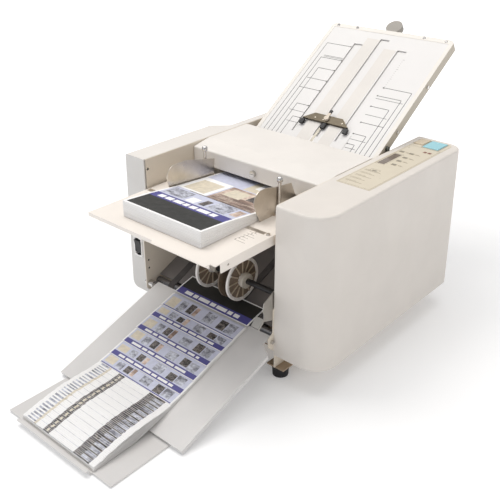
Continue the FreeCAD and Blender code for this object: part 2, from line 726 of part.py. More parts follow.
def feed_table():
    """A folded sheet with slots for the lock posts, hung between the side plates."""
    notch = 12.0
    step_x = -10.0
    outline_points = [
        (table_left, v.table_front + 8), (step_x, v.table_front + 8), (step_x + 6, v.table_front),
        (table_right - notch, v.table_front), (table_right - notch, v.table_front + notch),
        (table_right, v.table_front + notch), (table_right, v.table_rear), (table_left, v.table_rear)]
    owner = panel("XY_Plane", outline_points, table_low, v.table_top)
    slot = v.post_radius + v.fit
    slots = []
    for x_low, x_high, y in ((table_left + 4, left_post[0] + 4 + slot, left_post[1]),
                             (right_post[0] - 4 - slot, table_right - 6, right_post[1])):
        slots.append([(x_low, y - slot), (x_high, y - slot), (x_high, y + slot), (x_low, y + slot)])
    pocket(owner, "XY_Plane", slots, table_low - 1, v.table_top + 1)
    flanges = []
    for x in (table_left, table_right - v.sheet):
        flanges.append(box((x, x + v.sheet), (v.table_front + 26, v.table_rear),
                           (v.table_top - v.table_flange, table_low)))
    flanges.append(box((table_left, table_right - notch), (v.table_front + 8, v.table_front + 8 + v.sheet),
                       (v.table_top - 8, table_low)))
    hole = rod("x", (-375.0, v.table_top - 10), 2.5, table_right - 5, table_right + 1)
    node("feed_table", cut(fuse(owner, *flanges), hole))


def guide_rail():
    """The scale rail across the table, with its end screw."""
    rail = box((table_left + 4, 128.0), (-262.0, -252.0), (v.table_top, v.table_top + 0.6))
    screw = cone("z", (136.0, -257.0), 4.5, 3.5, v.table_top, v.table_top + 3)
    node("guide_rail", group(rail, screw))


def fence(label, x, points, post, span):
    """A side guide: an upright sheet, its foot on the table and the post of its lock."""
    sheet_body = panel("YZ_Plane", points, x, x + v.fence_thick)
    round_edges(sheet_body, 22.0, lambda e: near(e, y=points[1][0], z=points[1][1], within=1) and across(e))
    foot = box(span, (post[1] - 14, post[1] + 14), (v.table_top + v.fit, v.table_top + 2.5))
    low = v.table_top - 12
    bore = rod("z", post, v.post_radius + v.run, v.table_top - 1, v.table_top + 4)
    node(label, cut(fuse(sheet_body, foot), bore))
    stem = rod("z", post, v.post_radius, low + 3, v.post_top + 2)
    nut = rod("z", post, 6.0, low, low + 5)
    head = ball(post[0], post[1], v.post_top + 6, v.knob_radius)
    collar = rod("z", post, 3.8, v.table_top + 2.5 + v.fit, v.table_top + 8)
    node(label.replace("guide", "lock_knob"), fuse(stem, nut, head, collar))


def across(edge):
    """Whether an edge runs along x."""
    ends = [vertex.Point for vertex in edge.Vertexes]
    return len(ends) == 2 and abs(ends[0].y - ends[1].y) + abs(ends[0].z - ends[1].z) < 0.01


def side_guides():
    low = v.table_top + v.fit
    top = v.table_top + v.fence_height
    fence("left_side_guide", left_fence_x, (
        (-250.0, low), (-262.0, top), (-202.0, top), (-119.0, top - 19), (-122.0, low)),
        left_post, (left_post[0] - 7, left_fence_x + v.fence_thick))
    fence("right_side_guide", right_fence_x, (
        (-225.0, low), (-256.0, top + 2), (-206.0, top), (-180.0, top - 6), (-131.0, top - 12),
        (-115.0, top - 46), (-122.0, low)),
        right_post, (right_fence_x, right_post[0] + 7))


def feed_stack():
    low = v.feed_centre - v.paper_width / 2
    front = v.stack_rear - v.paper_length
    seat = v.table_top + 0.6 + v.fit
    node("feed_paper_stack", panel("YZ_Plane", (
        (front, seat), (v.stack_rear, seat), (v.stack_rear, v.table_top + v.stack_rear_height),
        (-230.0, v.table_top + 19), (front + 4, v.table_top + v.stack_front_height),
        (front, v.table_top + v.stack_front_height)), low, low + v.paper_width))


def top_cover():
    """The hinged cover over the feed roller: a top with a bevelled front edge, ends and a skirt."""
    low = gap_left + 1.5
    high = gap_right - 1.5
    top = v.cover_top
    front = v.cap_front
    crown = -64.0
    drop = 8.0
    owner = panel("YZ_Plane", (
        (front, v.cap_throat), (front, top - drop), (crown, top), (v.cap_rear, top),
        (v.cap_rear, top - 8), (30.0, top - 8), (-40.0, top - 14), (-98.0, top - 16),
        (-100.0, v.cap_throat)), low, high)
    round_edges(owner, 4.0, lambda e: across(e) and near(e, y=front, z=top - drop, within=0.5))
    w = v.wall
    pocket(owner, "YZ_Plane", [(
        (front + w, v.cap_throat - 2), (front + w, top - drop - w * 0.6), (crown, top - w),
        (v.cap_rear - w, top - w), (v.cap_rear - w, top - 20), (-94.0, top - 20),
        (-94.0, v.cap_throat - 2))], low + w, high - w)
    screw_hole = rod("y", (-25.6, 356.5), 3.0 + v.run, front - 1, front + w + 1)
    hinge = rod("x", cap_hinge, hinge_pin + v.run, low - 1, high + 1)
    node("top_cover", cut(owner, screw_hole, hinge))
    head = rod("y", (-25.6, 356.5), 7.0, front - 7, front - v.fit)
    stem = rod("y", (-25.6, 356.5), 3.0, front - 1, front + 9)
    slot = box((-33.0, -18.0), (front - 8, front - 5.5), (356.0, 357.0))
    node("top_cover_screw", cut(fuse(head, stem), slot))


# The upper fold plate, in its own frame: x across, y up the slope, z off its face.
plate_left_side = v.plate_centre - v.plate_half
plate_right_side = v.plate_centre + v.plate_half
rail_wide = 10.0
face_low = -v.plate_foot
slot_centres = (v.slot_middle - v.slot_pitch, v.slot_middle, v.slot_middle + v.slot_pitch)


def whole(obj):
    """A piece that can be moved as a whole: a single primitive is wrapped, so its own place is kept."""
    return group(obj) if obj.TypeId in ("Part::Box", "Part::Cylinder", "Part::Cone") else obj


def on_slope(obj, label):
    """Stand a piece of the upper plate up on its slope."""
    obj = whole(obj)
    place(obj, 0, v.plate_y, v.plate_z, axis=(1, 0, 0), angle=v.fold_tilt)
    return node(label, obj)


def plate_sheet(label, foot, low, high, with_slots):
    """One of the two sheets that the paper runs between."""
    left = plate_left_side + rail_wide
    right = plate_right_side - rail_wide
    owner = panel("XY_Plane", rectangle((left, right), (foot, v.plate_length - 12)), low, high)
    if with_slots:
        half = v.slot_width / 2
        slots = []
        for x, top in zip(slot_centres, (v.slot_side_high, v.slot_mid_high, v.slot_side_high)):
            slots.append([(x - half, v.slot_low), (x + half, v.slot_low), (x + half, top), (x - half, top)])
        pocket(owner, "XY_Plane", slots, low - 1, high + 1)
    on_slope(owner, label)


def plate_rail(low, high):
    """A deep side rail between the edges low and high."""
    return panel("XY_Plane", rectangle((low, high), (0.0, v.plate_length - 12)), -v.plate_deep, 0.8)


def upper_plate():
    plate_sheet("upper_plate_face", face_low, -v.thin, 0, True)
    plate_sheet("upper_plate_back", face_low + 5, -v.thin - 3.2, -v.thin - 2.0, False)
    rails = (plate_rail(plate_left_side, plate_left_side + rail_wide),
             plate_rail(plate_right_side - rail_wide, plate_right_side))
    across_head = (plate_left_side, plate_right_side)
    head = panel("XY_Plane", rectangle(across_head, (v.plate_length - 12, v.plate_length)), -v.plate_deep, 0.8)
    middle = -v.plate_deep / 2
    for side in (plate_left_side, plate_right_side):
        round_edges(head, v.plate_corner,
                    lambda e, x=side: near(e, x=x, y=v.plate_length, z=middle, within=1.5))
    screw_spots = (plate_left_side + 18, plate_left_side + 74, plate_right_side - 76, plate_right_side - 20)
    pocket(head, "XY_Plane", [(x, v.plate_length - 6, 2.0) for x in screw_spots], -6, 2)
    on_slope(group(head, *rails), "upper_plate_rails")
    screws = []
    for x in screw_spots:
        screws.append(fuse(cone("z", (x, v.plate_length - 6), 4.0, 3.0, 0.8, 2.8),
                           rod("z", (x, v.plate_length - 6), 1.95, -5.0, 0.8)))
    for s in (89.0, 226.0):
        for side, way in ((plate_left_side, -1), (plate_right_side, 1)):
            ends = sorted((side, side + way * 2.2), key=lambda size: size.value)
            screws.append(rod("x", (s, -v.plate_deep / 2), 4.0, *ends))
    arms = []
    for x, plate_x in ((plate_left_side, gap_left), (plate_right_side, gap_right)):
        ends = sorted((x, plate_x), key=lambda size: size.value)
        arms.append(box(ends, (2.0, 46.0), (-v.plate_deep + 1, -v.plate_deep + 3)))
        ear = (plate_x, plate_x + v.thin) if plate_x is gap_left else (plate_x - v.thin, plate_x)
        arms[-1] = fuse(arms[-1], box(ear, (-27.0, 46.0), (-v.plate_deep - 14, -v.plate_deep + 3)))
    knob_x = -30.0
    knob_at = v.plate_length + 22
    arms.append(box((knob_x - 6, knob_x + 6), (v.plate_length - 17, knob_at + 8),
                    (-v.plate_deep - 2, -v.plate_deep)))
    on_slope(group(*arms, *screws), "upper_plate_brackets")
    knob = rod("z", (knob_x, knob_at), 20.0, v.fit - v.plate_deep, 14 - v.plate_deep)
    on_slope(knob, "plate_adjust_knob")
    on_slope(rod("x", (42.0, -v.plate_deep / 2), 5.5, plate_right_side + v.fit, gap_right - 1), "skew_knob")


def paper_stop():
    """The stop that sets the fold length: a bar on the face, three feet in the slots, and its clamp."""
    low = v.fit
    base = v.stop_at
    bar = panel("XY_Plane", ((slot_centres[0] - 3, base), (slot_centres[2] + 3, base),
                             (slot_centres[2] - 22, base + 20), (slot_centres[0] + 22, base + 20)),
                low, low + 6)
    bore = rod("z", (slot_centres[1], base + 10), 3.0 + v.run, low - 1, low + 8)
    on_slope(cut(bar, bore), "paper_stop")
    feet = []
    for x in slot_centres:
        pad_of = box((x - 5, x + 5), (base - 15, base - 2), (v.fit, 5.0))
        tongue = box((x - 4, x + 4), (base - 13, base - 7), (-v.thin - 1.5, v.fit))
        link = box((x - 3, x + 3), (base - 2, base), (v.fit + 1, 4.0))
        feet.append(fuse(pad_of, tongue, link))
    on_slope(group(*feet), "stop_feet")
    stem = rod("z", (slot_centres[1], base + 10), 3.0, low + 1, low + 9)
    hub = rod("z", (slot_centres[1], base + 10), 6.0, low + 6 + v.fit, low + 11)
    arm = box((slot_centres[1] - 3.5, slot_centres[1] + 3.5), (base + 10, base + 34), (low + 7, low + 10))
    on_slope(fuse(stem, hub, arm), "stop_clamp_lever")


def on_lower_slope(obj, label):
    """The lower fold plate's frame: x across, y down its slope, z off its upper face."""
    start_y = roller_b[0] + pitch_radius * sine(v.lower_tilt) + 24 * cosine(v.lower_tilt)
    start_z = roller_b[1] + pitch_radius * cosine(v.lower_tilt) - 24 * sine(v.lower_tilt)
    obj = whole(obj)
    place(obj, 0, start_y, start_z, axis=(-1, 0, 0), angle=v.lower_tilt)
    return node(label, obj)


def lower_plate():
    left = gap_left + 3
    right = gap_right - 3
    pieces = []
    for low, high in ((-3.2, -2.0), (2.0, 3.2)):
        pieces.append(box((left, right), (16.0, 226.0), (low, high)))
    for low, high in ((gap_left, left), (right, gap_right)):
        pieces.append(box((low, high), (16.0, 226.0), (-8.0, 8.0)))
    on_lower_slope(group(*pieces), "lower_fold_plate")
    bar = box((left + 1, right - 1), (150.0, 156.0), (-2.0 + v.fit, 2.0 - v.fit))
    on_lower_slope(bar, "lower_paper_stop")


# The way out: bed and conveyor, exit wheels, guides, receiving tray and extension.
def conveyor():
    bed = box((gap_left, gap_right), (12 + conveyor_radius + 2, v.bed_length - 12 - conveyor_radius - 2),
              (-v.sheet, 0.0))
    bed = whole(bed)
    place(bed, 0, v.bed_front_y, v.bed_front_z, axis=(1, 0, 0), angle=v.bed_tilt)
    node("exit_bed", bed)
    for label, spot in (("conveyor_front_roller", conveyor_low), ("conveyor_rear_roller", conveyor_high)):
        axle = rod("x", spot, conveyor_shaft, plate_left - 3, plate_right + 3)
        face = rod("x", spot, conveyor_radius, gap_left + 3, gap_right - 3)
        node(label, fuse(axle, face))


def ribbed_wheel(x, thick, spokes):
    """A wheel about the exit shaft: rim, hub, thin web and ribs."""
    spot = (v.exit_y, v.exit_z)
    radius = v.exit_wheel_radius
    rim = tube("x", spot, radius, radius - 4, x, x + thick)
    web = rod("x", spot, radius - 3, x + thick / 2 - 0.8, x + thick / 2 + 0.8)
    hub = rod("x", spot, 13.0, x - 3, x + thick + 3)
    pieces = [rim, web, hub]
    for number in range(spokes):
        spoke = box((x, x + thick), (12.0, radius - 3), (-1.4, 1.4))
        turned = group(spoke)
        place(turned, 0, v.exit_y, v.exit_z, axis=(1, 0, 0), angle=0.01 + 360.0 * number / spokes)
        pieces.append(turned)
    return cut(fuse(*pieces), rod("x", spot, v.shaft_radius, x - 4, x + thick + 4))


def exit_wheels():
    spot = (v.exit_y, v.exit_z)
    axle = rod("x", spot, v.shaft_radius, plate_left - 3, plate_right + 3)
    spokes = 12
    node("exit_wheels", group(ribbed_wheel(36.0, 5.0, spokes), ribbed_wheel(14.0, 3.0, spokes),
                              ribbed_wheel(-49.0, 5.0, spokes)))
    caps = []
    for radius, low, high in ((16.0, 44.0, 53.0), (10.0, 20.0, 33.0), (10.0, -41.0, -30.0), (9.0, -8.0, 6.0)):
        caps.append(tube("x", spot, radius, v.shaft_radius, low, high))
    node("exit_shaft", group(axle, *caps))


def exit_guides():
    """The bent sheet at the right of the way out: a cheek on the plate, an arm and a flap at its end."""
    cheek_rear = -plate_ends + 3
    flap_high = (-284.0, 155.4)
    flap_low = (-298.6, 139.8)
    cheek = panel("YZ_Plane", (
        (cheek_rear, 208.0), (-283.9, 190.8), (-287.4, 174.9), (-284.0, 165.7), flap_high, flap_low,
        (-299.6, 137.4), (-297.2, 136.6), (-283.0, 150.0), (-262.0, 143.0), (cheek_rear, 143.0)),
        gap_right - v.thin, gap_right)
    flap = panel("YZ_Plane", (flap_high, flap_low, (flap_low[0] + v.thin, flap_low[1] - v.thin),
                              (flap_high[0] + v.thin, flap_high[1] - v.thin)), gap_right - 20, gap_right)
    node("exit_side_guide", fuse(cheek, flap))


def on_tray(obj, label):
    """A piece of the receiving tray, in its frame: y up its slope from the rod, z off its face."""
    place(obj, 0, v.hinge_y, v.hinge_z, axis=(1, 0, 0), angle=v.tray_tilt)
    return node(label, obj)


hinge_radius = 4.0
tray_low = 5.0
tray_face = tray_low + v.thin
tray_reach = (v.hinge_y - v.tray_front) / cosine(v.tray_tilt)
tray_left = v.tray_centre - v.tray_half
tray_right = v.tray_centre + v.tray_half


def tray():
    """The receiving tray: a sheet with turned-down edges, hooked on the rod between the plates."""
    sides = 9.0
    neck_left = gap_left + 22
    neck_right = gap_right - 5
    points = ((tray_left, -tray_reach), (tray_right, -tray_reach), (tray_right, -34.0),
              (neck_right, -18.0), (neck_right, 7.0), (neck_left, 7.0), (neck_left, -4.0), (tray_left, -10.0))
    owner = panel("XY_Plane", points, tray_low, tray_face)
    flange = (tray_low - sides + v.thin, tray_low)
    left = box((tray_left, tray_left + v.thin), (-tray_reach, -12.0), flange)
    right = box((tray_right - v.thin, tray_right), (-tray_reach, -36.0), flange)
    front = box((tray_left, tray_right), (-tray_reach, -tray_reach + v.thin), (0.0, tray_low))
    hooks = [rod("x", (0, 0), 6.5, x, x + 14) for x in (neck_left, neck_right - 14)]
    bore = rod("x", (0, 0), hinge_radius + v.run, neck_left - 1, neck_right + 1)
    on_tray(cut(fuse(owner, left, right, front, *hooks), bore), "receiving_tray")
    rod_piece = rod("x", (v.hinge_y, v.hinge_z), hinge_radius, plate_left - 6, plate_right + 4)
    collars = [tube("x", (v.hinge_y, v.hinge_z), 8.0, hinge_radius, gap_left + v.fit, gap_left + 14),
               tube("x", (v.hinge_y, v.hinge_z), 5.5, hinge_radius, plate_left - 10, plate_left)]
    node("tray_hinge_rod", group(rod_piece, *collars))


def extension():
    """The flat extension on the desk, with side flanges and the stop lip."""
    left = v.extension_centre - v.extension_half
    right = v.extension_centre + v.extension_half
    front = v.extension_front
    long = (front + 4, v.extension_rear)
    under = 2.8
    face = under + v.thin
    high = v.lip_height
    owner = panel("XY_Plane", rectangle((left, right), (front, v.extension_rear)), under, face)
    left_flange = box((left, left + v.thin), long, (0.0, under))
    right_flange = box((right - v.thin, right), long, (0.0, under))
    lip = panel("YZ_Plane", (
        (front + 2, 0.0), (front + 2, face), (front - 2, face), (front - 5, high), (front - 12, high),
        (front - 12, high - 1.5), (front - 6, high - 1.5), (front - 4, 0.0)),
        v.extension_centre - 106, v.extension_centre + 100)
    node("tray_extension", fuse(owner, left_flange, right_flange, lip))


def tray_surface(y):
    """Height of the tray's face at a place along y."""
    face = v.hinge_z + tray_face / cosine(v.tray_tilt)
    return face - (v.hinge_y - y) * sine(v.tray_tilt) / cosine(v.tray_tilt)


pile_profile = (
    # share of the pile's length from its near end, height as a share of the hinge's
    (0.124, 0.936), (0.3, 0.702), (0.447, 0.489), (0.548, 0.362), (0.763, 0.33), (0.884, 0.245))


def folded_sheets():
    """The delivered pile on the tray, and the last folded sheet under the wheels."""
    low = v.delivery_centre - v.paper_width / 2
    high = low + v.paper_width
    seat = v.fit
    split = v.hinge_y - 4
    edge = v.tray_front - tray_face * sine(v.tray_tilt) - 2 * seat
    far = v.extension_front + 2
    foot = 4.3
    points = [(split, tray_surface(split) + seat), (edge, tray_surface(edge) + seat), (edge, foot),
              (far, foot), (far, v.lip_height)]
    for along, up in reversed(pile_profile):
        points.append((split + (far - split) * along, v.hinge_z * up))
    points.append((split, v.hinge_z + 9))
    pile = panel("YZ_Plane", points, low, high)
    node("folded_sheets", pile)
    rise = 4.5
    last = whole(box((low, high), (6.0, 50.0), (belt_sheet + v.fit * 2, rise)))
    place(last, 0, v.bed_front_y, v.bed_front_z, axis=(1, 0, 0), angle=v.bed_tilt)
    node("leaving_sheet", last)


# Controls and electrics.
overlay_thick = 0.6
key_travel = 1.5
board_top = v.cover_top - 20
key_spots = (
    # distance from the cover's outer side, distance in front of the panel's rear edge, half width
    (84.4, 105.4, 6.0), (61.7, 105.0, 6.0), (60.0, 134.4, 6.0), (60.0, 158.3, 6.0), (57.0, 183.0, 6.0),
    (44.6, 78.5, 4.2), (34.2, 78.5, 4.2))


def control_panel():
    """The membrane on the right cover, its window, its small keys and the two large keys."""
    top = v.cover_top + overlay_thick
    right = right_out - 20
    front = panel_rear - 330
    owner = panel("XY_Plane", rectangle((right_out - 96, right), (front, panel_rear)), v.cover_top, top)
    round_edges(owner, 12.0, lambda e: near(e, x=right, y=panel_rear, within=0.5))
    round_edges(owner, 3.0, lambda e: near(e, x=right, y=front, within=0.5))
    openings = [rectangle(*display_spot)]
    for x, y in (start_spot, stop_spot):
        openings.append(rectangle((x[0] - v.fit, x[1] + v.fit), (y[0] - v.fit, y[1] + v.fit)))
    pocket(owner, "XY_Plane", openings, v.cover_top - 1, top + 1)
    x, y = display_spot
    gap = 0.1
    node("display_window", box((x[0] + gap, x[1] - gap), (y[0] + gap, y[1] - gap), (v.cover_top, top + 0.3)))
    keys = []
    for side, back, wide in key_spots:
        x = right_out - side
        y = panel_rear - back
        keys.append(box((x - wide, x + wide), (y - 4.5, y + 4.5), (top, top + 0.5)))
    node("panel_overlay", group(owner, *keys))
    for label, (x, y) in (("start_button", start_spot), ("stop_button", stop_spot)):
        under = v.cover_top - v.wall - v.fit
        cap = panel("XY_Plane", rectangle(x, y), under - 3, v.cover_top + 3)
        round_edges(cap, 2.0, lambda e: near(e, z=v.cover_top + 3, within=0.1))
        rim = box((x[0] - 1.5, x[1] + 1.5), (y[0] - 1.5, y[1] + 1.5), (under - 3, under))
        node(label, fuse(cap, rim))


def control_board():
    """The board under the panel, on posts from the cover, with a switch under each large key."""
    board = box((right_out - 84, right_out - 14), (panel_rear - 302, panel_rear - 2),
                (board_top - 1.6, board_top))
    posts = []
    for x in (right_out - 78, right_out - 20):
        for y in (panel_rear - 292, panel_rear - 72):
            posts.append(rod("z", (x, y), 3.0, board_top, v.cover_top - v.wall))
    switches = []
    under = v.cover_top - v.wall - v.fit - 3
    for x, y in (start_spot, ((right_out - 84, right_out - 72), stop_spot[1])):
        middle = ((x[0] + x[1]) / 2, (y[0] + y[1]) / 2)
        switches.append(box((middle[0] - 6, middle[0] + 6), (middle[1] - 6, middle[1] + 6),
                            (board_top, under - key_travel - v.fit)))
    node("control_board", group(board, *posts, *switches))


def power_parts():
    """Rocker switch on the left cover's front, inlet at its rear, and the supply inside."""
    x = left_out + 20
    front = -v.half_depth
    switch_z = 170.0
    flange = box((x - 13, x + 13), (front - 2, front), (switch_z - 24, switch_z + 24))
    sleeve = box((x - 11.2, x + 11.2), (front - 1, front + 8), (switch_z - 21.7, switch_z + 21.7))
    hole = box((x - 9.5, x + 9.5), (front - 3, front + 9), (switch_z - 19.5, switch_z + 19.5))
    pins = rod("x", (front + 6, switch_z), 1.5 + v.run, x - 10.5, x + 10.5)
    node("switch_bezel", cut(fuse(flange, sleeve), hole, pins))
    low = switch_z - 16
    high = switch_z + 16
    rocker = panel("YZ_Plane", (
        (front + 6, low), (front - 1, low), (front - 2.2, switch_z), (front - 5, high), (front + 6, high)),
        x - 9.2, x + 9.2)
    pivot = rod("x", (front + 6, switch_z), 1.5, x - 10.3, x + 10.3)
    node("power_rocker", fuse(rocker, pivot))
    rear = v.half_depth
    rim = box((inlet_x - 8, inlet_x + 8), (rear, rear + 1.5), (88.0, 122.0))
    shell = box((inlet_x - 6, inlet_x + 6), (rear - 22, rear + 0.5), (91.0, 119.0))
    recess = box((inlet_x - 4.5, inlet_x + 4.5), (rear - 16, rear + 3), (95.0, 115.0))
    pins = []
    for z in (99.0, 105.0, 111.0):
        pins.append(box((inlet_x - 1, inlet_x + 1), (rear - 17, rear - 2), (z - 1.5, z + 1.5)))
    node("power_inlet", fuse(cut(fuse(rim, shell), recess), *pins))
    node("power_supply", box((left_out + 10, plate_left), (-200.0, -50.0), (70.0, 150.0)))


def build():
    frame()
    left_cover()
    right_cover()
    made = gears()
    fold_rollers(made)
    bearings()
    feed(made)
    drive()
    feed_table()
    guide_rail()
    side_guides()
    feed_stack()
    top_cover()
    upper_plate()
    paper_stop()
    lower_plate()
    conveyor()
    exit_wheels()
    exit_guides()
    tray()
    extension()
    folded_sheets()
    control_panel()
    control_board()
    power_parts()


def write():
    """Check every object, then write each sub-part's shape to its own file."""
    doc.recompute()
    for obj in doc.Objects:
        if "Invalid" in obj.State or "Error" in obj.State:
            raise RuntimeError("%s failed: %s" % (obj.Label, obj.State))
    for obj in nodes:
        if obj.Shape.isNull() or not obj.Shape.isValid() or not obj.Shape.Solids:
            raise RuntimeError("%s has no sound shape" % obj.Label)
    os.makedirs("parts", exist_ok=True)
    for obj in nodes:
        obj.Shape.exportStep(os.path.join("parts", obj.Label + ".step"))
    print("%d sub-parts written" % len(nodes))


build()
write()
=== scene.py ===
"""Looks of the paper folding machine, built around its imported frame. Lengths are in metres."""
import math
import random

import bmesh
import bpy
from mathutils import Matrix, Vector


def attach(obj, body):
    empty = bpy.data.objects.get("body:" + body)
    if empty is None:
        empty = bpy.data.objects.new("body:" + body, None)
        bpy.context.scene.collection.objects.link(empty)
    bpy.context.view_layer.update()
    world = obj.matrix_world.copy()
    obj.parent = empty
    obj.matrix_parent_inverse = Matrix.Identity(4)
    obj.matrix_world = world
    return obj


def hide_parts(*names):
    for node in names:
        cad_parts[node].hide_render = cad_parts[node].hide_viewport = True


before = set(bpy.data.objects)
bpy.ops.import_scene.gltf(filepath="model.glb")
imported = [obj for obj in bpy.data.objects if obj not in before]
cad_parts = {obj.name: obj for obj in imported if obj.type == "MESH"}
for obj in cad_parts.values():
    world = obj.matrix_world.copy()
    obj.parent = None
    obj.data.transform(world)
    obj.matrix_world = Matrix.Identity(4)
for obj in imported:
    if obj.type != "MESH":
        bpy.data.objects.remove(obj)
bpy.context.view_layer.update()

MM = 0.001
random.seed(7)

CAMERA_PLACE = (0.917, -1.1996, 0.9284)
CAMERA_PITCH, CAMERA_YAW = 62.452, 41.22
CAMERA_LENS = 53.44
FLOOR_REACH = 6.0
FLOOR_DROP = 0.0005
GLOW_FROM, GLOW_TO = 0.7, 1.7

# The upper fold plate's foot and slope, and places on other pieces that a finish needs
PLATE_Y, PLATE_Z, PLATE_TILT = 84.6, 371.8, math.radians(33.5)
RAIL_MIDDLE, RAIL_HALF = -0.023, 0.167
WHEEL_SPOT = (-0.221, 0.176)
WHEEL_HUB, WHEEL_RIM = 0.0136, 0.0405
SWITCH_SPOT = (-0.240, 0.170)
SWITCH_HALF_HIGH = 0.0110
COVER_TOP = 0.384
LEVER_TIP = 83.0
SHAFT_CAPS = ((0.0438, 0.0532), (0.0198, 0.0332), (-0.0412, -0.0298), (-0.0082, 0.0062))


# Camera, lights and floor

def set_camera():
    """A long lens, from the front right and above."""
    data = bpy.data.cameras.new("view_camera")
    data.lens = CAMERA_LENS
    data.sensor_width = 36.0
    data.clip_end = 20.0
    camera = bpy.data.objects.new("view_camera", data)
    camera.location = CAMERA_PLACE
    camera.rotation_euler = (math.radians(CAMERA_PITCH), 0.0, math.radians(CAMERA_YAW))
    bpy.context.collection.objects.link(camera)
    bpy.context.scene.camera = camera


def area_light(name, place, target, size, power, color=(1.0, 1.0, 1.0)):
    data = bpy.data.lights.new(name, "AREA")
    data.shape = "DISK"
    data.size = size
    data.energy = power
    data.color = color
    light = bpy.data.objects.new(name, data)
    light.location = place
    aim = Vector(target) - Vector(place)
    light.rotation_euler = aim.to_track_quat("-Z", "Y").to_euler()
    bpy.context.collection.objects.link(light)


def set_studio():
    """Even light from all round, a soft key above, cool light in front, and a white floor that glows as
    painted light, more strongly away from the machine.
    """
    world = bpy.data.worlds.new("studio")
    bpy.context.scene.world = world
    world.use_nodes = True
    back = world.node_tree.nodes["Background"]
    back.inputs["Color"].default_value = (0.985, 0.985, 1.0, 1.0)
    back.inputs["Strength"].default_value = 0.52
    middle = (0.0, -0.1, 0.25)
    area_light("key", (-0.9, -0.5, 2.5), middle, 1.4, 24.0, (1.0, 0.98, 0.955))
    area_light("top", (0.1, 0.2, 2.7), middle, 2.4, 22.0, (1.0, 0.985, 0.965))
    area_light("front", (-0.3, -2.6, 0.8), middle, 1.6, 3.0, (0.62, 0.78, 1.0))
    area_light("side", (2.4, 0.2, 0.9), middle, 1.6, 0.5, (1.0, 0.9, 0.78))
    bpy.context.scene.view_settings.view_transform = "Standard"
    mesh = bpy.data.meshes.new("floor")
    corners = [(x * FLOOR_REACH, y * FLOOR_REACH, 0) for x, y in ((-1, -1), (1, -1), (1, 1), (-1, 1))]
    mesh.from_pydata(corners, [], [(0, 1, 2, 3)])
    floor = bpy.data.objects.new("floor", mesh)
    floor.location = (0.0, 0.0, -FLOOR_DROP)
    bpy.context.collection.objects.link(floor)
    nodes = Nodes("glowing_floor")
    x, y = nodes.axis("X"), nodes.axis("Y")
    away = distance(nodes, x, y)
    # painted light: the floor glows, weakly near the machine and more strongly far from it
    glow = nodes.ramp(away, GLOW_FROM, GLOW_TO, 0.2, 0.75)
    nodes.set(Base_Color=toned(nodes, (0.95, 0.95, 0.95), 0.005, 2.0), Roughness=0.9,
              Emission_Color=(1.0, 1.0, 1.0, 1.0), Emission_Strength=glow)
    floor.data.materials.append(nodes.material)


# Materials

class Nodes:
    """A short way to write one node tree."""

    def __init__(self, name):
        self.material = bpy.data.materials.new(name)
        self.material.use_nodes = True
        self.tree = self.material.node_tree
        self.shader = self.tree.nodes["Principled BSDF"]
        self.place = self.tree.nodes.new("ShaderNodeTexCoord").outputs["Object"]

    def add(self, kind, **inputs):
        node = self.tree.nodes.new("ShaderNode" + kind)
        for name, value in inputs.items():
            self.feed(node, name.replace("_", " "), value)
        return node

    def feed(self, node, name, value):
        socket = node.inputs[int(name)] if name.isdigit() else node.inputs[name]
        if isinstance(value, bpy.types.NodeSocket):
            self.tree.links.new(value, socket)
        else:
            socket.default_value = value

    def noise(self, scale, detail=4.0, stretch=None):
        place = self.place
        if stretch:
            mapping = self.add("Mapping", Vector=self.place, Scale=stretch)
            place = mapping.outputs["Vector"]
        return self.add("TexNoise", Vector=place, Scale=scale, Detail=detail, Roughness=0.6).outputs["Fac"]

    def math(self, operation, first, second=0.0):
        node = self.tree.nodes.new("ShaderNodeMath")
        node.operation = operation
        for index, value in enumerate((first, second)):
            self.feed(node, str(index), value)
        return node.outputs[0]

    def ramp(self, value, low, high, to_low=0.0, to_high=1.0):
        node = self.add("MapRange", Value=value)
        for name, size in (("From Min", low), ("From Max", high), ("To Min", to_low), ("To Max", to_high)):
            self.feed(node, name, size)
        return node.outputs["Result"]

    def mix(self, factor, first, second):
        node = self.tree.nodes.new("ShaderNodeMix")
        node.data_type = "RGBA"
        self.feed(node, "0", factor)
        for index, color in ((6, first), (7, second)):
            if isinstance(color, tuple):
                color = color + (1.0,) if len(color) == 3 else color
            self.feed(node, str(index), color)
        return node.outputs[2]

    def axis(self, letter):
        split = self.tree.nodes.new("ShaderNodeSeparateXYZ")
        self.feed(split, "0", self.place)
        return split.outputs["XYZ".index(letter)]

    def bump(self, *layers):
        """Bump from (height, distance) layers, one on top of the other."""
        normal = None
        for height, distance in layers:
            node = self.add("Bump", Height=height, Distance=distance, Strength=1.0)
            if normal is not None:
                self.feed(node, "Normal", normal)
            normal = node.outputs["Normal"]
        self.feed(self.shader, "Normal", normal)

    def set(self, **inputs):
        for name, value in inputs.items():
            self.feed(self.shader, name.replace("_", " "), value)


def linear(color):
    """An sRGB colour as linear light."""
    return tuple(c / 12.92 if c <= 0.04045 else ((c + 0.055) / 1.055) ** 2.4 for c in color)


def toned(nodes, color, spread, scale):
    """A colour that drifts a little lighter and darker over the surface."""
    base = linear(color)
    dark = tuple(c * (1 - spread) for c in base)
    light = tuple(min(1.0, c * (1 + spread)) for c in base)
    return nodes.mix(nodes.ramp(nodes.noise(scale), 0.3, 0.7), dark, light)


def painted(name, color, rough, grain=0.00004, scale=900.0, spread=0.03):
    """Paint or moulded plastic: a fine grain, faint drift of tone and handling marks."""
    nodes = Nodes(name)
    smudge = nodes.ramp(nodes.noise(14.0, 6.0), 0.35, 0.75, rough - 0.07, rough + 0.09)
    nodes.set(Base_Color=toned(nodes, color, spread, 9.0), Roughness=smudge)
    if grain:
        nodes.bump((nodes.noise(scale, 2.0), grain), (nodes.noise(60.0, 2.0), grain * 2))
    return nodes.material


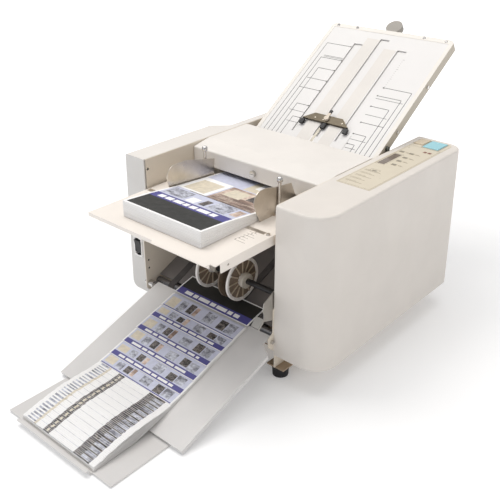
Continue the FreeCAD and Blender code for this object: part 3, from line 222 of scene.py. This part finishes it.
def metal(name, color, rough, stretch=(1.0, 1.0, 1.0), grain=0.00002, scale=400.0):
    """Bare metal with a drawn or brushed grain along the axis that stretch keeps long."""
    nodes = Nodes(name)
    lines = nodes.noise(scale, 3.0, stretch)
    patch = nodes.noise(25.0, 4.0)
    nodes.set(Base_Color=toned(nodes, color, 0.08, 30.0), Metallic=1.0,
              Roughness=nodes.math("ADD", nodes.ramp(lines, 0.3, 0.7, rough - 0.08, rough + 0.08),
                                   nodes.ramp(patch, 0.3, 0.7, -0.04, 0.06)))
    nodes.bump((lines, grain))
    return nodes.material


def rubber(name, color, rough=0.75):
    nodes = Nodes(name)
    nodes.set(Base_Color=toned(nodes, color, 0.2, 60.0),
              Roughness=nodes.ramp(nodes.noise(40.0), 0.3, 0.7, rough - 0.1, rough + 0.12))
    nodes.bump((nodes.noise(1500.0, 2.0), 0.00006))
    return nodes.material


# The CAD nodes' own finishes

def inside(nodes, value, low, high):
    """1 between two limits, 0 outside them."""
    return nodes.math("MULTIPLY", nodes.math("GREATER_THAN", value, low),
                      nodes.math("LESS_THAN", value, high))


def distance(nodes, first, second):
    return nodes.math("SQRT", nodes.math("ADD", nodes.math("MULTIPLY", first, first),
                                         nodes.math("MULTIPLY", second, second)))


def wheel_plastic():
    """Off-white rims and hubs, tan ribs over a brown web; the middle wheel is brown all over."""
    nodes = Nodes("wheel_plastic")
    along = nodes.axis("X")
    out = distance(nodes, nodes.math("SUBTRACT", nodes.axis("Y"), WHEEL_SPOT[0]),
                   nodes.math("SUBTRACT", nodes.axis("Z"), WHEEL_SPOT[1]))
    spoked = inside(nodes, out, WHEEL_HUB, WHEEL_RIM)
    web = nodes.math("MAXIMUM", inside(nodes, along, 0.0375, 0.0395),
                     inside(nodes, along, -0.0475, -0.0455))
    middle = inside(nodes, along, 0.010, 0.021)
    tan = toned(nodes, (0.70, 0.64, 0.56), 0.1, 90.0)
    brown = toned(nodes, (0.47, 0.41, 0.35), 0.15, 90.0)
    dark_brown = toned(nodes, (0.42, 0.36, 0.30), 0.15, 90.0)
    ribs = nodes.mix(web, tan, brown)
    pale = nodes.mix(spoked, toned(nodes, (0.90, 0.88, 0.86), 0.03, 60.0), ribs)
    nodes.set(Base_Color=nodes.mix(middle, pale, dark_brown), Roughness=0.45)
    nodes.bump((nodes.noise(300.0, 2.0), 0.00005))
    return nodes.material


def bezel_plastic():
    """A white rim round a black oval opening."""
    nodes = Nodes("switch_bezel")
    up = nodes.math("ABSOLUTE", nodes.math("SUBTRACT", nodes.axis("Z"), SWITCH_SPOT[1]))
    up = nodes.math("MAXIMUM", nodes.math("SUBTRACT", up, SWITCH_HALF_HIGH), 0.0)
    out = distance(nodes, nodes.math("SUBTRACT", nodes.axis("X"), SWITCH_SPOT[0]), up)
    rim = nodes.ramp(out, 0.0100, 0.0104)
    nodes.set(Base_Color=nodes.mix(rim, toned(nodes, (0.10, 0.10, 0.10), 0.1, 60.0),
                                   toned(nodes, (0.93, 0.92, 0.91), 0.02, 60.0)), Roughness=0.3)
    nodes.bump((nodes.noise(300.0, 2.0), 0.00001))
    return nodes.material


def rail_paint():
    """Pale on the edges that face up; the outer cheeks a darker tan as painted shade."""
    nodes = Nodes("rail_paint")
    across = nodes.math("ABSOLUTE", nodes.math("SUBTRACT", nodes.axis("X"), RAIL_MIDDLE))
    # painted shade: the outer cheeks take a darker tan, as if their sides fell into shade
    shaded_cheek = nodes.ramp(across, RAIL_HALF - 0.0006, RAIL_HALF - 0.0004)
    nodes.set(Base_Color=nodes.mix(shaded_cheek, toned(nodes, (0.90, 0.88, 0.85), 0.03, 9.0),
                                   toned(nodes, (0.76, 0.725, 0.665), 0.05, 9.0)), Roughness=0.45)
    nodes.bump((nodes.noise(900.0, 2.0), 0.00003))
    return nodes.material


def lever_plastic():
    """The clamp lever: cream, with a black tip."""
    nodes = Nodes("clamp_lever")
    up = nodes.math("ADD", nodes.math("MULTIPLY", nodes.axis("Y"), math.cos(PLATE_TILT)),
                    nodes.math("MULTIPLY", nodes.axis("Z"), math.sin(PLATE_TILT)))
    start = (PLATE_Y * math.cos(PLATE_TILT) + PLATE_Z * math.sin(PLATE_TILT) + LEVER_TIP) * MM
    cream = toned(nodes, (0.85, 0.80, 0.73), 0.08, 90.0)
    black = toned(nodes, (0.13, 0.12, 0.12), 0.1, 90.0)
    nodes.set(Base_Color=nodes.mix(nodes.ramp(up, start, start + 0.0004), cream, black), Roughness=0.4)
    nodes.bump((nodes.noise(500.0), 0.00004))
    return nodes.material


def left_cover_plastic():
    """The left cover's plastic, paler and warmer on its flat top as painted light."""
    nodes = Nodes("left_cover_with_painted_light")
    # painted light: the flat top is paler and warmer, the sides and front darker, as the light falls on them
    top = nodes.ramp(nodes.axis("Z"), COVER_TOP - 0.0004, COVER_TOP - 0.0002)
    nodes.set(Base_Color=nodes.mix(top, toned(nodes, (0.835, 0.825, 0.81), 0.03, 9.0),
                                   toned(nodes, (0.88, 0.86, 0.835), 0.03, 9.0)), Roughness=0.5)
    nodes.bump((nodes.noise(1100.0, 2.0), 0.00003))
    return nodes.material


def exit_shaft_finish():
    """A dark shaft, made near-black as painted shade so it is lost in the dark inside, with cream hub caps on
    it.
    """
    nodes = Nodes("exit_shaft")
    along = nodes.axis("X")
    caps = 0.0
    for low, high in SHAFT_CAPS:
        caps = nodes.math("ADD", caps, inside(nodes, along, low, high))
    # painted shade: the bare shaft is near-black so it sinks into the shade inside the machine
    nodes.set(Base_Color=nodes.mix(caps, toned(nodes, (0.10, 0.095, 0.09), 0.2, 60.0),
                                   toned(nodes, (0.80, 0.77, 0.72), 0.06, 60.0)), Roughness=0.4)
    nodes.bump((nodes.noise(600.0), 0.00004))
    return nodes.material


def ribbed_rubber():
    """The feed roller's rubber, with grooves around it."""
    nodes = Nodes("feed_rubber")
    wave = nodes.math("SINE", nodes.math("MULTIPLY", nodes.axis("X"), 2 * math.pi / 0.003))
    nodes.set(Base_Color=toned(nodes, (0.16, 0.15, 0.15), 0.2, 50.0), Roughness=0.8)
    nodes.bump((wave, 0.0003), (nodes.noise(900.0), 0.00005))
    return nodes.material


def circuit_board():
    nodes = Nodes("circuit_board")
    tracks = nodes.add("TexBrick", Vector=nodes.place, Scale=160.0)
    nodes.set(Base_Color=nodes.mix(nodes.ramp(tracks.outputs["Fac"], 0.4, 0.6), (0.02, 0.12, 0.05),
                                   (0.05, 0.22, 0.1)), Roughness=0.4)
    nodes.bump((tracks.outputs["Fac"], 0.00005))
    return nodes.material


def finishes():
    """Each material, with the CAD nodes that wear it."""
    cover = painted("moulded_cover", (0.875, 0.85, 0.82), 0.5, 0.00003, 1100.0)
    white = painted("white_paint", (0.905, 0.885, 0.86), 0.42, 0.00002, 700.0)
    table = painted("table_paint", (0.93, 0.90, 0.865), 0.4, 0.00002, 600.0)
    tray = painted("tray_paint", (0.85, 0.84, 0.83), 0.45, 0.00003, 600.0)
    dark = painted("dark_sheet", (0.47, 0.45, 0.44), 0.45, 0.00004, 500.0, 0.1)
    side = painted("side_plate", (0.88, 0.84, 0.78), 0.45, 0.00003, 500.0, 0.04)
    tan = painted("base_paint", (0.66, 0.58, 0.49), 0.5, 0.00003, 500.0, 0.08)
    bar = metal("dark_plated", (0.40, 0.37, 0.32), 0.35, (6.0, 1.0, 1.0))
    zinc = metal("zinc_sheet", (0.72, 0.71, 0.69), 0.42, (1.0, 6.0, 1.0))
    bright = metal("bright_steel", (0.80, 0.79, 0.78), 0.18, (8.0, 1.0, 1.0))
    satin = metal("satin_steel", (0.84, 0.81, 0.77), 0.33, (1.0, 1.0, 8.0))
    ground = metal("ground_steel", (0.55, 0.55, 0.56), 0.3, (1.0, 14.0, 14.0))
    black = painted("black_plastic", (0.11, 0.11, 0.115), 0.5, 0.00005, 700.0, 0.15)
    grey = painted("grey_plastic", (0.62, 0.60, 0.57), 0.5, 0.00005, 500.0)
    foot = rubber("foot_rubber", (0.13, 0.13, 0.14))
    return (
        (cover, ("right_cover",)),
        (left_cover_plastic(), ("left_cover",)),
        (white, ("top_cover",)),
        (table, ("feed_table",)),
        (tray, ("receiving_tray", "tray_extension")),
        (rail_paint(), ("upper_plate_rails",)),
        (dark, ("exit_bed", "separator_pad")),
        (side, ("left_frame_plate", "right_frame_plate")),
        (tan, ("base_rails_and_pan",)),
        (zinc, ("lower_fold_plate", "exit_side_guide", "power_supply")),
        (bright, ("cross_stays", "frame_studs", "roller_bearings", "upper_plate_brackets", "tray_hinge_rod",
                  "left_side_lock_knob", "right_side_lock_knob", "top_cover_screw", "feed_shaft")),
        (satin, ("guide_rail", "left_side_guide", "right_side_guide", "lower_paper_stop")),
        (bar, ("paper_stop",)),
        (ground, ("fold_roller_a", "fold_roller_b", "fold_roller_c", "fold_roller_d", "motor_pulley",
                  "conveyor_front_roller", "conveyor_rear_roller")),
        (black, ("stop_feet", "power_rocker", "power_inlet", "motor")),
        (painted("skew_knob_plastic", (0.24, 0.25, 0.21), 0.45, 0.00005, 500.0, 0.1), ("skew_knob",)),
        (lever_plastic(), ("stop_clamp_lever",)),
        (grey, ("plate_adjust_knob", "idler_gear")),
        (bezel_plastic(), ("switch_bezel",)),
        (foot, ("rubber_feet",)),
        (rubber("belt_rubber", (0.33, 0.315, 0.31)), ("belts",)),
        (wheel_plastic(), ("exit_wheels",)),
        (exit_shaft_finish(), ("exit_shaft",)),
        (ribbed_rubber(), ("feed_roller",)),
        (circuit_board(), ("control_board",)),
    )


def dress(node, material):
    """Give a CAD node's object one material."""
    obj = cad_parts[node]
    if not obj.material_slots:
        obj.data.materials.append(material)
    for slot in obj.material_slots:
        slot.link = "OBJECT"
        slot.material = material


def dress_all():
    for material, names in finishes():
        for node in names:
            dress(node, material)


# Meshes

STUD_SIDES = 16


class Shape:
    """Collects the faces of one piece, each with the number of its material."""

    def __init__(self):
        self.points = []
        self.faces = []
        self.inks = []

    def box(self, x, y, z, ink=0, frame_of=None):
        """A box between pairs of limits, in a local frame if one is given."""
        start = len(self.points)
        for corner in ((a, b, c) for c in z for b in y for a in x):
            spot = Vector(corner) * MM
            self.points.append(frame_of @ spot if frame_of else spot)
        for face in ((0, 2, 3, 1), (4, 5, 7, 6), (0, 1, 5, 4), (1, 3, 7, 5), (3, 2, 6, 7), (2, 0, 4, 6)):
            self.faces.append([start + corner for corner in face])
            self.inks.append(ink)

    def slab(self, line, low, high, thick, layout=(), face=0, edge=0):
        """A sheet from x low to high along a line of (y, z) points, printed where the layout says.

        Each row of the layout is (from, to) along the sheet, (from, to) across it, and a material."""
        along = [0.0]
        for (y0, z0), (y1, z1) in zip(line, line[1:]):
            along.append(along[-1] + math.hypot(y1 - y0, z1 - z0))
        length = along[-1]
        printed_rows = {round(a, 3) for row in layout for a in row[:2] if 0 < a < length}
        rows = sorted({round(a, 3) for a in along} | printed_rows)
        columns = sorted({0.0, high - low} | {u for row in layout for u in row[2:4] if 0 < u < high - low})

        def spot(a, u, drop):
            k = next((i for i in range(len(along) - 1) if a <= along[i + 1]), len(along) - 2)
            part = (a - along[k]) / (along[k + 1] - along[k])
            y = line[k][0] + (line[k + 1][0] - line[k][0]) * part
            z = line[k][1] + (line[k + 1][1] - line[k][1]) * part
            return Vector((low + u, y, z - drop)) * MM

        def ink_at(a, u):
            ink = face
            for a0, a1, u0, u1, wanted in layout:
                if a0 < a < a1 and u0 < u < u1:
                    ink = wanted
            return ink

        start = len(self.points)
        wide = len(columns)
        for a in rows:
            self.points += [spot(a, u, 0.0) for u in columns]
        under = len(self.points)
        for a in rows:
            self.points += [spot(a, 0.0, thick), spot(a, high - low, thick)]
        for i in range(len(rows) - 1):
            for j in range(wide - 1):
                corner = start + i * wide + j
                self.faces.append((corner, corner + 1, corner + wide + 1, corner + wide))
                self.inks.append(ink_at((rows[i] + rows[i + 1]) / 2, (columns[j] + columns[j + 1]) / 2))
            side = under + 2 * i
            top = start + i * wide
            for loop in ((side, side + 2, side + 3, side + 1), (top, top + wide, side + 2, side),
                         (top + wide - 1, side + 1, side + 3, top + 2 * wide - 1)):
                self.faces.append(loop)
                self.inks.append(edge)
        for i in (0, len(rows) - 1):
            top = start + i * wide
            self.faces.append(tuple(range(top, top + wide)) + (under + 2 * i + 1, under + 2 * i))
            self.inks.append(edge)

    def stud(self, centre, radius, low, high, frame_of, ink=0):
        """A domed round head about the local z axis."""
        start = len(self.points)
        rings = ((radius, low), (radius, low + 0.6 * (high - low)), (0.6 * radius, high))
        for size, level in rings:
            for step in range(STUD_SIDES):
                turn = 2 * math.pi * step / STUD_SIDES
                across, up = centre[0] + size * math.cos(turn), centre[1] + size * math.sin(turn)
                self.points.append(frame_of @ (Vector((across, up, level)) * MM))
        for ring in range(len(rings) - 1):
            near = start + ring * STUD_SIDES
            far = near + STUD_SIDES
            for step in range(STUD_SIDES):
                after = (step + 1) % STUD_SIDES
                self.faces.append((near + step, near + after, far + after, far + step))
                self.inks.append(ink)
        for ring in (0, len(rings) - 1):
            self.faces.append(tuple(start + ring * STUD_SIDES + step for step in range(STUD_SIDES)))
            self.inks.append(ink)

    def make(self, name, body, materials):
        """The finished object, riding on a body."""
        mesh = bpy.data.meshes.new(name)
        mesh.from_pydata(self.points, [], self.faces)
        for material in materials:
            mesh.materials.append(material)
        for face, ink in zip(mesh.polygons, self.inks):
            face.material_index = ink
        work = bmesh.new()
        work.from_mesh(mesh)
        bmesh.ops.recalc_face_normals(work, faces=work.faces)
        work.to_mesh(mesh)
        work.free()
        obj = bpy.data.objects.new(name, mesh)
        bpy.context.collection.objects.link(obj)
        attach(obj, body)
        return obj


# Paper

PAPER, EDGE, BLACK, VIOLET, LAVENDER, GREY_PICTURE, WARM_PICTURE, SAND, DARK_PICTURE = range(9)
SHEET_LOW = -120.0
STACK_LOW = -127.0
SHEET_WIDE = 210.0


def printed(name, color, rough=0.45, spread=0.05):
    nodes = Nodes(name)
    nodes.set(Base_Color=toned(nodes, color, spread, 120.0),
              Roughness=nodes.ramp(nodes.noise(60.0), 0.3, 0.7, rough - 0.06, rough + 0.1))
    nodes.bump((nodes.noise(2600.0, 2.0), 0.000015))
    return nodes.material


def picture(name, dark, middle, light, scale, stretch=(1.0, 1.6, 1.0)):
    """A soft picture of nothing in particular: drifting patches of three tones."""
    nodes = Nodes(name)
    patch = nodes.ramp(nodes.noise(scale, 5.0, stretch), 0.38, 0.62)
    grain = nodes.ramp(nodes.noise(scale * 4, 3.0), 0.4, 0.65)
    color = nodes.mix(patch, linear(dark), linear(middle))
    lit = nodes.math("MULTIPLY", grain, patch)
    nodes.set(Base_Color=nodes.mix(lit, color, linear(light)), Roughness=0.45)
    nodes.bump((nodes.noise(2600.0, 2.0), 0.000015))
    return nodes.material


def edges_of_sheets():
    """Cut edges: fine uneven lines along the stack."""
    nodes = Nodes("paper_edges")
    lines = nodes.noise(90.0, 6.0, (0.15, 0.15, 14.0))
    grey, white = linear((0.88, 0.87, 0.86)), linear((0.98, 0.975, 0.965))
    nodes.set(Base_Color=nodes.mix(nodes.ramp(lines, 0.3, 0.7), grey, white), Roughness=0.8)
    nodes.bump((lines, 0.0003))
    return nodes.material


def paper_inks():
    return (printed("plain_paper", (0.965, 0.96, 0.955), 0.6, 0.015), edges_of_sheets(),
            printed("black_ink", (0.17, 0.17, 0.16)), printed("violet_ink", (0.31, 0.30, 0.56)),
            printed("lavender_ink", (0.80, 0.81, 0.88), spread=0.08),
            picture("grey_picture", (0.42, 0.42, 0.46), (0.74, 0.75, 0.80), (0.88, 0.89, 0.93), 60.0),
            picture("warm_picture", (0.52, 0.43, 0.38), (0.80, 0.69, 0.63), (0.93, 0.87, 0.80), 22.0,
                    (0.6, 3.0, 1.0)),
            printed("sand_ink", (0.86, 0.82, 0.74), spread=0.12),
            picture("dark_picture", (0.12, 0.11, 0.11), (0.30, 0.28, 0.28), (0.62, 0.58, 0.55), 90.0))


def bars(start, end, low, high, count, seed):
    """Plain white bars across a band, where a heading would be."""
    dice = random.Random(seed)
    rows = []
    u = low
    while len(rows) < count and u < high:
        wide = dice.uniform(12.0, 30.0)
        rows.append((start, end, u, min(u + wide, high), PAPER))
        u += wide + dice.uniform(3.0, 4.5)
    return rows


def feed_stack(inks):
    """The sheets on the feed table, each a little out of line, and the print of the top one."""
    count = 34
    front, bend, rear, seat = -379.0, -230.0, -82.0, 321.9
    tops = ((front, 355.0), (front + 70, 349.5), (bend, 340.0), (rear - 55, 332.5), (rear, 329.0))
    shape = Shape()
    for number in range(count):
        share = (number + 1) / count
        thick = (355.0 - seat) / count * 0.94
        shift = random.uniform(-0.35, 0.35)
        slip = random.uniform(0.0, 0.9)
        line = [(y + (slip if y == front else 0.0), seat + (z - seat) * share) for y, z in tops]
        layout = ()
        if number == count - 1:
            edge = 5.0
            layout = [(edge, 62, edge, SHEET_WIDE - edge, BLACK), (62, 88, edge, SHEET_WIDE - edge, VIOLET)]
            layout += bars(68, 82, 22.0, 176.0, 14, 3)
            layout += [(88, 300, edge, SHEET_WIDE - edge, LAVENDER),
                       (94, 134, 10, 66, GREY_PICTURE), (92, 118, 74, 98, PAPER),
                       (96, 126, 106, 122, DARK_PICTURE),
                       (92, 138, 130, 178, GREY_PICTURE), (100, 132, 184, 202, WARM_PICTURE),
                       (140, 143, 40, 205, DARK_PICTURE), (143, 226, 84, 205, WARM_PICTURE),
                       (143, 236, edge, 80, PAPER), (150, 214, 12, 70, SAND),
                       (176, 216, 96, 140, SAND), (186, 222, 150, 196, DARK_PICTURE),
                       (230, 291, edge, 96, LAVENDER), (230, 291, 104, 205, SAND),
                       (250, 284, 120, 190, PAPER)]
            layout += [(146 + 5 * step, 147.4 + 5 * step, 88, 202, DARK_PICTURE) for step in range(6)]
            shift = 0.0
        low = STACK_LOW + shift
        shape.slab(line, low, low + SHEET_WIDE, thick, layout, PAPER, EDGE if number % 3 else PAPER)
    stack = shape.make("feed_stack", "feed_pile", inks)
    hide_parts("feed_paper_stack")


PILE_TOP = ((-266.0, 103.0), (-315.0, 88.0), (-385.0, 66.0), (-443.0, 46.0), (-483.0, 34.0), (-568.0, 31.0),
            (-616.0, 23.0), (-661.0, 12.0))

PILE_REAR = -270.5
PILE_LAYERS = 10
TRAY_TOP, TRAY_SLOPE, ROD_Y = 100.5, 0.3346, -262.0
EXTENSION_TOP = 4.6
DENSE_FROM, DENSE_TO = -660.0, -482.0
WIDE_FRONTS = [-478.0, -452.0, -417.0, -379.0, -339.0, -306.0]
PRINT_LEFT, PRINT_RIGHT = 4.0, 206.0
TO_THE_END = 300


def pile_top(y):
    for (y0, z0), (y1, z1) in zip(PILE_TOP, PILE_TOP[1:]):
        if y >= y1:
            return z0 + (z1 - z0) * (y - y0) / (y1 - y0)
    return PILE_TOP[-1][1]


def picture_row(start, end, seed):
    """Blocks across a sheet, in columns that line up from sheet to sheet."""
    dice = random.Random(seed)
    rows = []
    columns = ((8, 34, SAND), (40, 58, GREY_PICTURE), (64, 80, DARK_PICTURE), (82, 92, WARM_PICTURE),
               (112, 138, GREY_PICTURE), (152, 172, DARK_PICTURE), (174, 196, GREY_PICTURE))
    for low, high, ink in columns:
        near = start + dice.uniform(0.0, 0.15) * (end - start)
        far = end - dice.uniform(0.0, 0.2) * (end - start)
        rows.append((near, far, low, high, ink))
    return rows


def pile_body(shape):
    """The layers under the fanned sheets, from the tray and the extension up."""
    for layer in range(PILE_LAYERS):
        share = (layer + 1) / PILE_LAYERS
        line = []
        for y, z in PILE_TOP:
            floor = max(TRAY_TOP - (ROD_Y - y) * TRAY_SLOPE, EXTENSION_TOP) + 0.3
            line.append((y, floor + (z - 1.4 - floor) * share))
        low = SHEET_LOW + random.uniform(-0.6, 0.6)
        top = layer == PILE_LAYERS - 1
        layout = [(0.0, 12.0, PRINT_LEFT, PRINT_RIGHT, LAVENDER)] if top else ()
        thick = (line[4][1] - 27.3) / PILE_LAYERS * 0.9 / share if layer else 1.0
        shape.slab(line, low, low + SHEET_WIDE, thick, layout, PAPER, EDGE)


def wide_print(front, gap, number, last):
    """The print that shows on a sheet of the wide steps."""
    layout = [(1.2, TO_THE_END, PRINT_LEFT, PRINT_RIGHT, LAVENDER)]
    if front > -470.0 and not last:
        layout += picture_row(13.0, gap, number)
        layout += [(1.2, 12.5, PRINT_LEFT, PRINT_RIGHT, VIOLET)]
        return layout + bars(4.0, 9.5, 24.0, 180.0, 15, number + 20)
    return layout + picture_row(4.0, gap, number) + [(1.2, 3.4, PRINT_LEFT, PRINT_RIGHT, VIOLET)]


def dense_print(number):
    """The strips that line up from sheet to sheet where the steps are fine."""
    strips = ((62, 69, DARK_PICTURE), (69, 74, SAND if number % 3 else DARK_PICTURE), (74, 80, DARK_PICTURE),
              (152, 170, DARK_PICTURE), (170, 196, DARK_PICTURE if number % 3 == 0 else GREY_PICTURE),
              (10, 34, GREY_PICTURE if number % 2 else PAPER), (34, 40, SAND))
    layout = [(0.0, 0.5, 8, 196, GREY_PICTURE if number % 4 == 0 else PAPER)]
    return layout + [(0.5, TO_THE_END, low, high, ink) for low, high, ink in strips]


def folded_pile(inks):
    """Folded sheets lying like shingles: wide steps near the machine, close ones at the far end."""
    shape = Shape()
    pile_body(shape)
    fronts = []
    y = DENSE_FROM
    while y < DENSE_TO:
        fronts.append(y)
        y += random.uniform(2.6, 4.6)
    fronts += WIDE_FRONTS
    for number, front in enumerate(fronts):
        last = number + 1 == len(fronts)
        far = PILE_REAR if last else fronts[number + 1]
        gap = far - front
        wide = gap > 10.0
        rise, overlap, thick = (1.0, 14.0, 0.8) if wide else (0.45, 5.0, 0.35)
        rear = min(far + overlap, PILE_REAR)
        between = {y for y, _ in PILE_TOP if front < y < rear}
        line = []
        for y in sorted({front, rear, (front + rear) / 2} | between):
            share = (y - front) / (rear - front)
            line.append((y, pile_top(y) + rise * (1.0 if last else 1 - 2.2 * share)))
        low = SHEET_LOW + random.uniform(-0.9, 0.9)
        layout = wide_print(front, gap, number, last) if wide else dense_print(number)
        shape.slab(line, low, low + SHEET_WIDE, thick, layout, PAPER, EDGE)
    pile = shape.make("folded_pile", "delivered_pile", inks)
    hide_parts("folded_sheets")


def last_sheet(inks):
    """The sheet on its way out: a black field and the heading's band."""
    line = [(-263.0, 104.6), (-250.0, 108.6), (-236.0, 112.2), (-222.0, 115.6), (-208.5, 119.0)]
    layout = [(1.0, 53.5, 3.0, 207.0, BLACK), (1.0, 19.0, 3.0, 207.0, VIOLET)]
    layout += bars(5.5, 14.5, 24.0, 180.0, 15, 40)
    shape = Shape()
    shape.slab(line, SHEET_LOW, SHEET_LOW + SHEET_WIDE, 0.9, layout, PAPER, EDGE)
    sheet = shape.make("last_folded_sheet", "last_sheet", inks)
    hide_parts("leaving_sheet")


def paper():
    inks = paper_inks()
    feed_stack(inks)
    folded_pile(inks)
    last_sheet(inks)


# Printed marks, panel and small details

INK_THICK = 0.12


def plate_frame():
    """Across, up the slope and off the face of the upper fold plate."""
    return Matrix.Translation((0.0, PLATE_Y * MM, PLATE_Z * MM)) @ Matrix.Rotation(PLATE_TILT, 4, "X")


def plate_marks():
    """The fold formats: nested angle lines beside the slots, short ticks and tinted lanes between slots."""
    shape = Shape()
    slope = plate_frame()

    def mark(x0, x1, s0, s1, ink=0):
        shape.box(sorted((x0, x1)), sorted((s0, s1)), (0.02, INK_THICK), ink, slope)

    line = 1.3
    low = 1.5
    for outer, top, inner, tops in (
            (-168.5, 293.0, -98.0, ()), (-157.0, 245.5, -96.0, ()), (-143.8, 211.8, -96.4, (253.3, 250.0)),
            (-131.0, 96.0, -96.0, (74.7,)), (-118.0, 57.5, -96.5, (42.5,)),
            (125.0, 191.5, 52.7, ()), (112.5, 166.0, 51.5, (158.2,)), (99.6, 133.8, 53.0, (109.0,)),
            (88.5, 51.5, 56.0, (36.2,)), (76.0, 22.5, 57.6, (11.5,))):
        mark(outer, outer + line, low, top)
        mark(outer, inner, top, top + line)
        for s in tops:
            mark(outer + (8.0 if outer > 0 else -8.0), inner, s, s + line * 0.8)
        mark(inner - 1.6, inner + 1.6, top - 1.0, top + 2.2)
    for outer, s, inner in ((-153.8, 176.3, -96.8), (-156.4, 144.7, -96.0), (113.0, 85.5, 55.5)):
        mark(outer, inner, s, s + line)
        mark(inner - 1.6, inner + 1.6, s - 1.2, s + 2.0)
    for number in range(16):
        s = 281.0 - number * 6.1
        mark(52.5, 57.5 if number % 5 == 0 else 55.0, s, s + 0.8, 1)
    for number in range(22):
        s = 44.0 - number * 1.9
        mark(54.0, 56.6, s, s + 0.6, 1)
    for low_x, high_x, top in ((-71.5, -36.0, 330.0), (-11.0, 21.5, 305.0)):
        mark(low_x, high_x, 2.0, top, 2)
    mark(-33.0, -25.5, 2.0, 46.0, 3)
    inks = (printed("scale_ink", (0.31, 0.30, 0.29), 0.5), printed("pale_scale_ink", (0.62, 0.60, 0.58), 0.5),
            painted("lane_tint", (0.865, 0.845, 0.82), 0.45, 0.00002, 700.0),
            metal("scale_strip", (0.62, 0.60, 0.56), 0.38, (6.0, 1.0, 1.0)))
    shape.make("plate_marks", "machine_frame", inks)


def table_marks():
    """Scale marks printed on the feed table beside the stack."""
    shape = Shape()
    turn = Matrix.Translation((0.112, -0.285, 0.321))
    for number in range(7):
        y = -26.0 + number * 8.6
        shape.box((-12.0, 6.0 if number % 3 else 14.0), (y, y + 0.8), (0.02, INK_THICK), 0, turn)
        shape.box((-12.0 + 2.2 * number, -10.6 + 2.2 * number), (y, y + 6.0), (0.02, INK_THICK), 0, turn)
    ink = printed("table_ink", (0.55, 0.52, 0.48), 0.5)
    shape.make("table_marks", "machine_frame", (ink,))


def panel_prints():
    """Outlines and fields of the membrane, its keys' caps and lamps."""
    top = 384.6
    shape = Shape()

    def field(x, y, ink, high=0.1):
        shape.box(x, y, (top + 0.02, top + high), ink)

    def outline(x, y, ink, wide=0.8):
        field((x[0], x[1]), (y[0], y[0] + wide), ink)
        field((x[0], x[1]), (y[1] - wide, y[1]), ink)
        field((x[0], x[0] + wide), y, ink)
        field((x[1] - wide, x[1]), y, ink)

    outline((166.5, 237.5), (-85.0, 187.0), 1, 0.6)
    outline((167.0, 189.0), (44.0, 122.0), 1)
    for x, y in ((175.6, 136.6), (198.3, 137.0), (200.0, 107.6), (200.0, 83.7), (203.0, 59.0)):
        shape.box((x - 5.2, x + 5.2), (y - 3.7, y + 3.7), (top + 0.52, top + 0.62), 0)
        field((x + 9.0, x + 20.0), (y - 0.8, y + 0.8), 1)
        field((x + 9.0, x + 16.0), (y + 2.2, y + 3.4), 1)
    for x, y in ((215.4, 163.5), (225.8, 163.5)):
        shape.box((x - 3.4, x + 3.4), (y - 3.4, y + 3.4), (top + 0.52, top + 0.62), 2)
    for number in range(5):
        y = -70.0 + number * 17.0
        field((172.0, 210.0 - 4.0 * (number % 2)), (y, y + 1.2), 1)
        field((172.0, 196.0), (y + 4.0, y + 5.0), 1)
    outline((181.0, 202.0), (-2.0, 13.0), 1)
    field((186.0, 197.0), (3.0, 8.0), 0)
    outline((190.5, 232.5), (189.5, 238.5), 0, 0.9)
    outline((163.6, 191.4), (199.5, 238.5), 0, 0.9)
    inks = (printed("panel_grey_ink", (0.56, 0.53, 0.47), 0.4),
            printed("panel_line_ink", (0.62, 0.57, 0.48), 0.4),
            printed("panel_lamp", (0.50, 0.27, 0.22), 0.3))
    shape.make("panel_prints", "machine_frame", inks)


def small_heads():
    """Dark heads of screws in the left plate's nose, their black partly painted shade of the bores, and
    bright rivets on the stop's bar whose pale steel is a painted highlight for its glints.
    """
    heads_and_bore_shade = Shape()
    outwards = Matrix.Rotation(math.radians(90), 4, "Y")
    # painted shade: the screw heads are black, and stand also for the shade inside the bores of the nose
    for y, z, radius in ((-262.0, 151.5, 2.45), (-262.0, 132.0, 2.45), (-243.0, 197.0, 3.4)):
        heads_and_bore_shade.stud((-z, y), radius, -202.6, -201.2, outwards)
    dark = painted("head_black_and_bore_shade", (0.14, 0.13, 0.12), 0.4, 0.00004, 600.0, 0.1)
    heads_and_bore_shade.make("nose_screws_and_bore_shade", "machine_frame", (dark,))
    # painted highlight: the rivets' pale steel stands for the glints on the stop's dark bar
    glint_rivets = Shape()
    for x, s in ((-54.0, 65.0), (-31.0, 64.0), (20.0, 65.0)):
        glint_rivets.stud((x, s), 1.9, 6.0, 7.3, plate_frame())
    bright = metal("rivet_steel_glint", (0.92, 0.88, 0.82), 0.25)
    glint_rivets.make("stop_rivets_as_glints", "fold_stop", (bright,))


def soft_finishes():
    """The nodes whose finish has its own make-up."""
    face = painted("fold_plate_paint", (0.885, 0.875, 0.865), 0.4, 0.00002, 700.0, 0.015)
    overlay = painted("membrane_film", (0.85, 0.81, 0.73), 0.32, 0.00002, 1500.0, 0.03)
    window = Nodes("display_window")
    columns = window.math("SINE", window.math("MULTIPLY", window.axis("Y"), 2 * math.pi / 0.0058))
    segment = window.ramp(columns, 0.2, 0.5)
    window.set(Base_Color=window.mix(segment, linear((0.50, 0.45, 0.41)), linear((0.40, 0.36, 0.33))),
               Roughness=0.12)
    window.bump((window.noise(30.0), 0.00002))
    blue = painted("blue_key", (0.62, 0.83, 0.87), 0.25, 0.00001, 800.0, 0.03)
    beige = painted("beige_key", (0.84, 0.78, 0.68), 0.25, 0.00001, 800.0, 0.03)
    for material, names in ((face, ("upper_plate_face", "upper_plate_back")), (overlay, ("panel_overlay",)),
                            (window.material, ("display_window",)), (blue, ("start_button",)),
                            (beige, ("stop_button",))):
        for node in names:
            dress(node, material)


def build_pieces():
    soft_finishes()
    paper()
    plate_marks()
    table_marks()
    panel_prints()
    small_heads()


set_studio()
set_camera()
dress_all()
build_pieces()
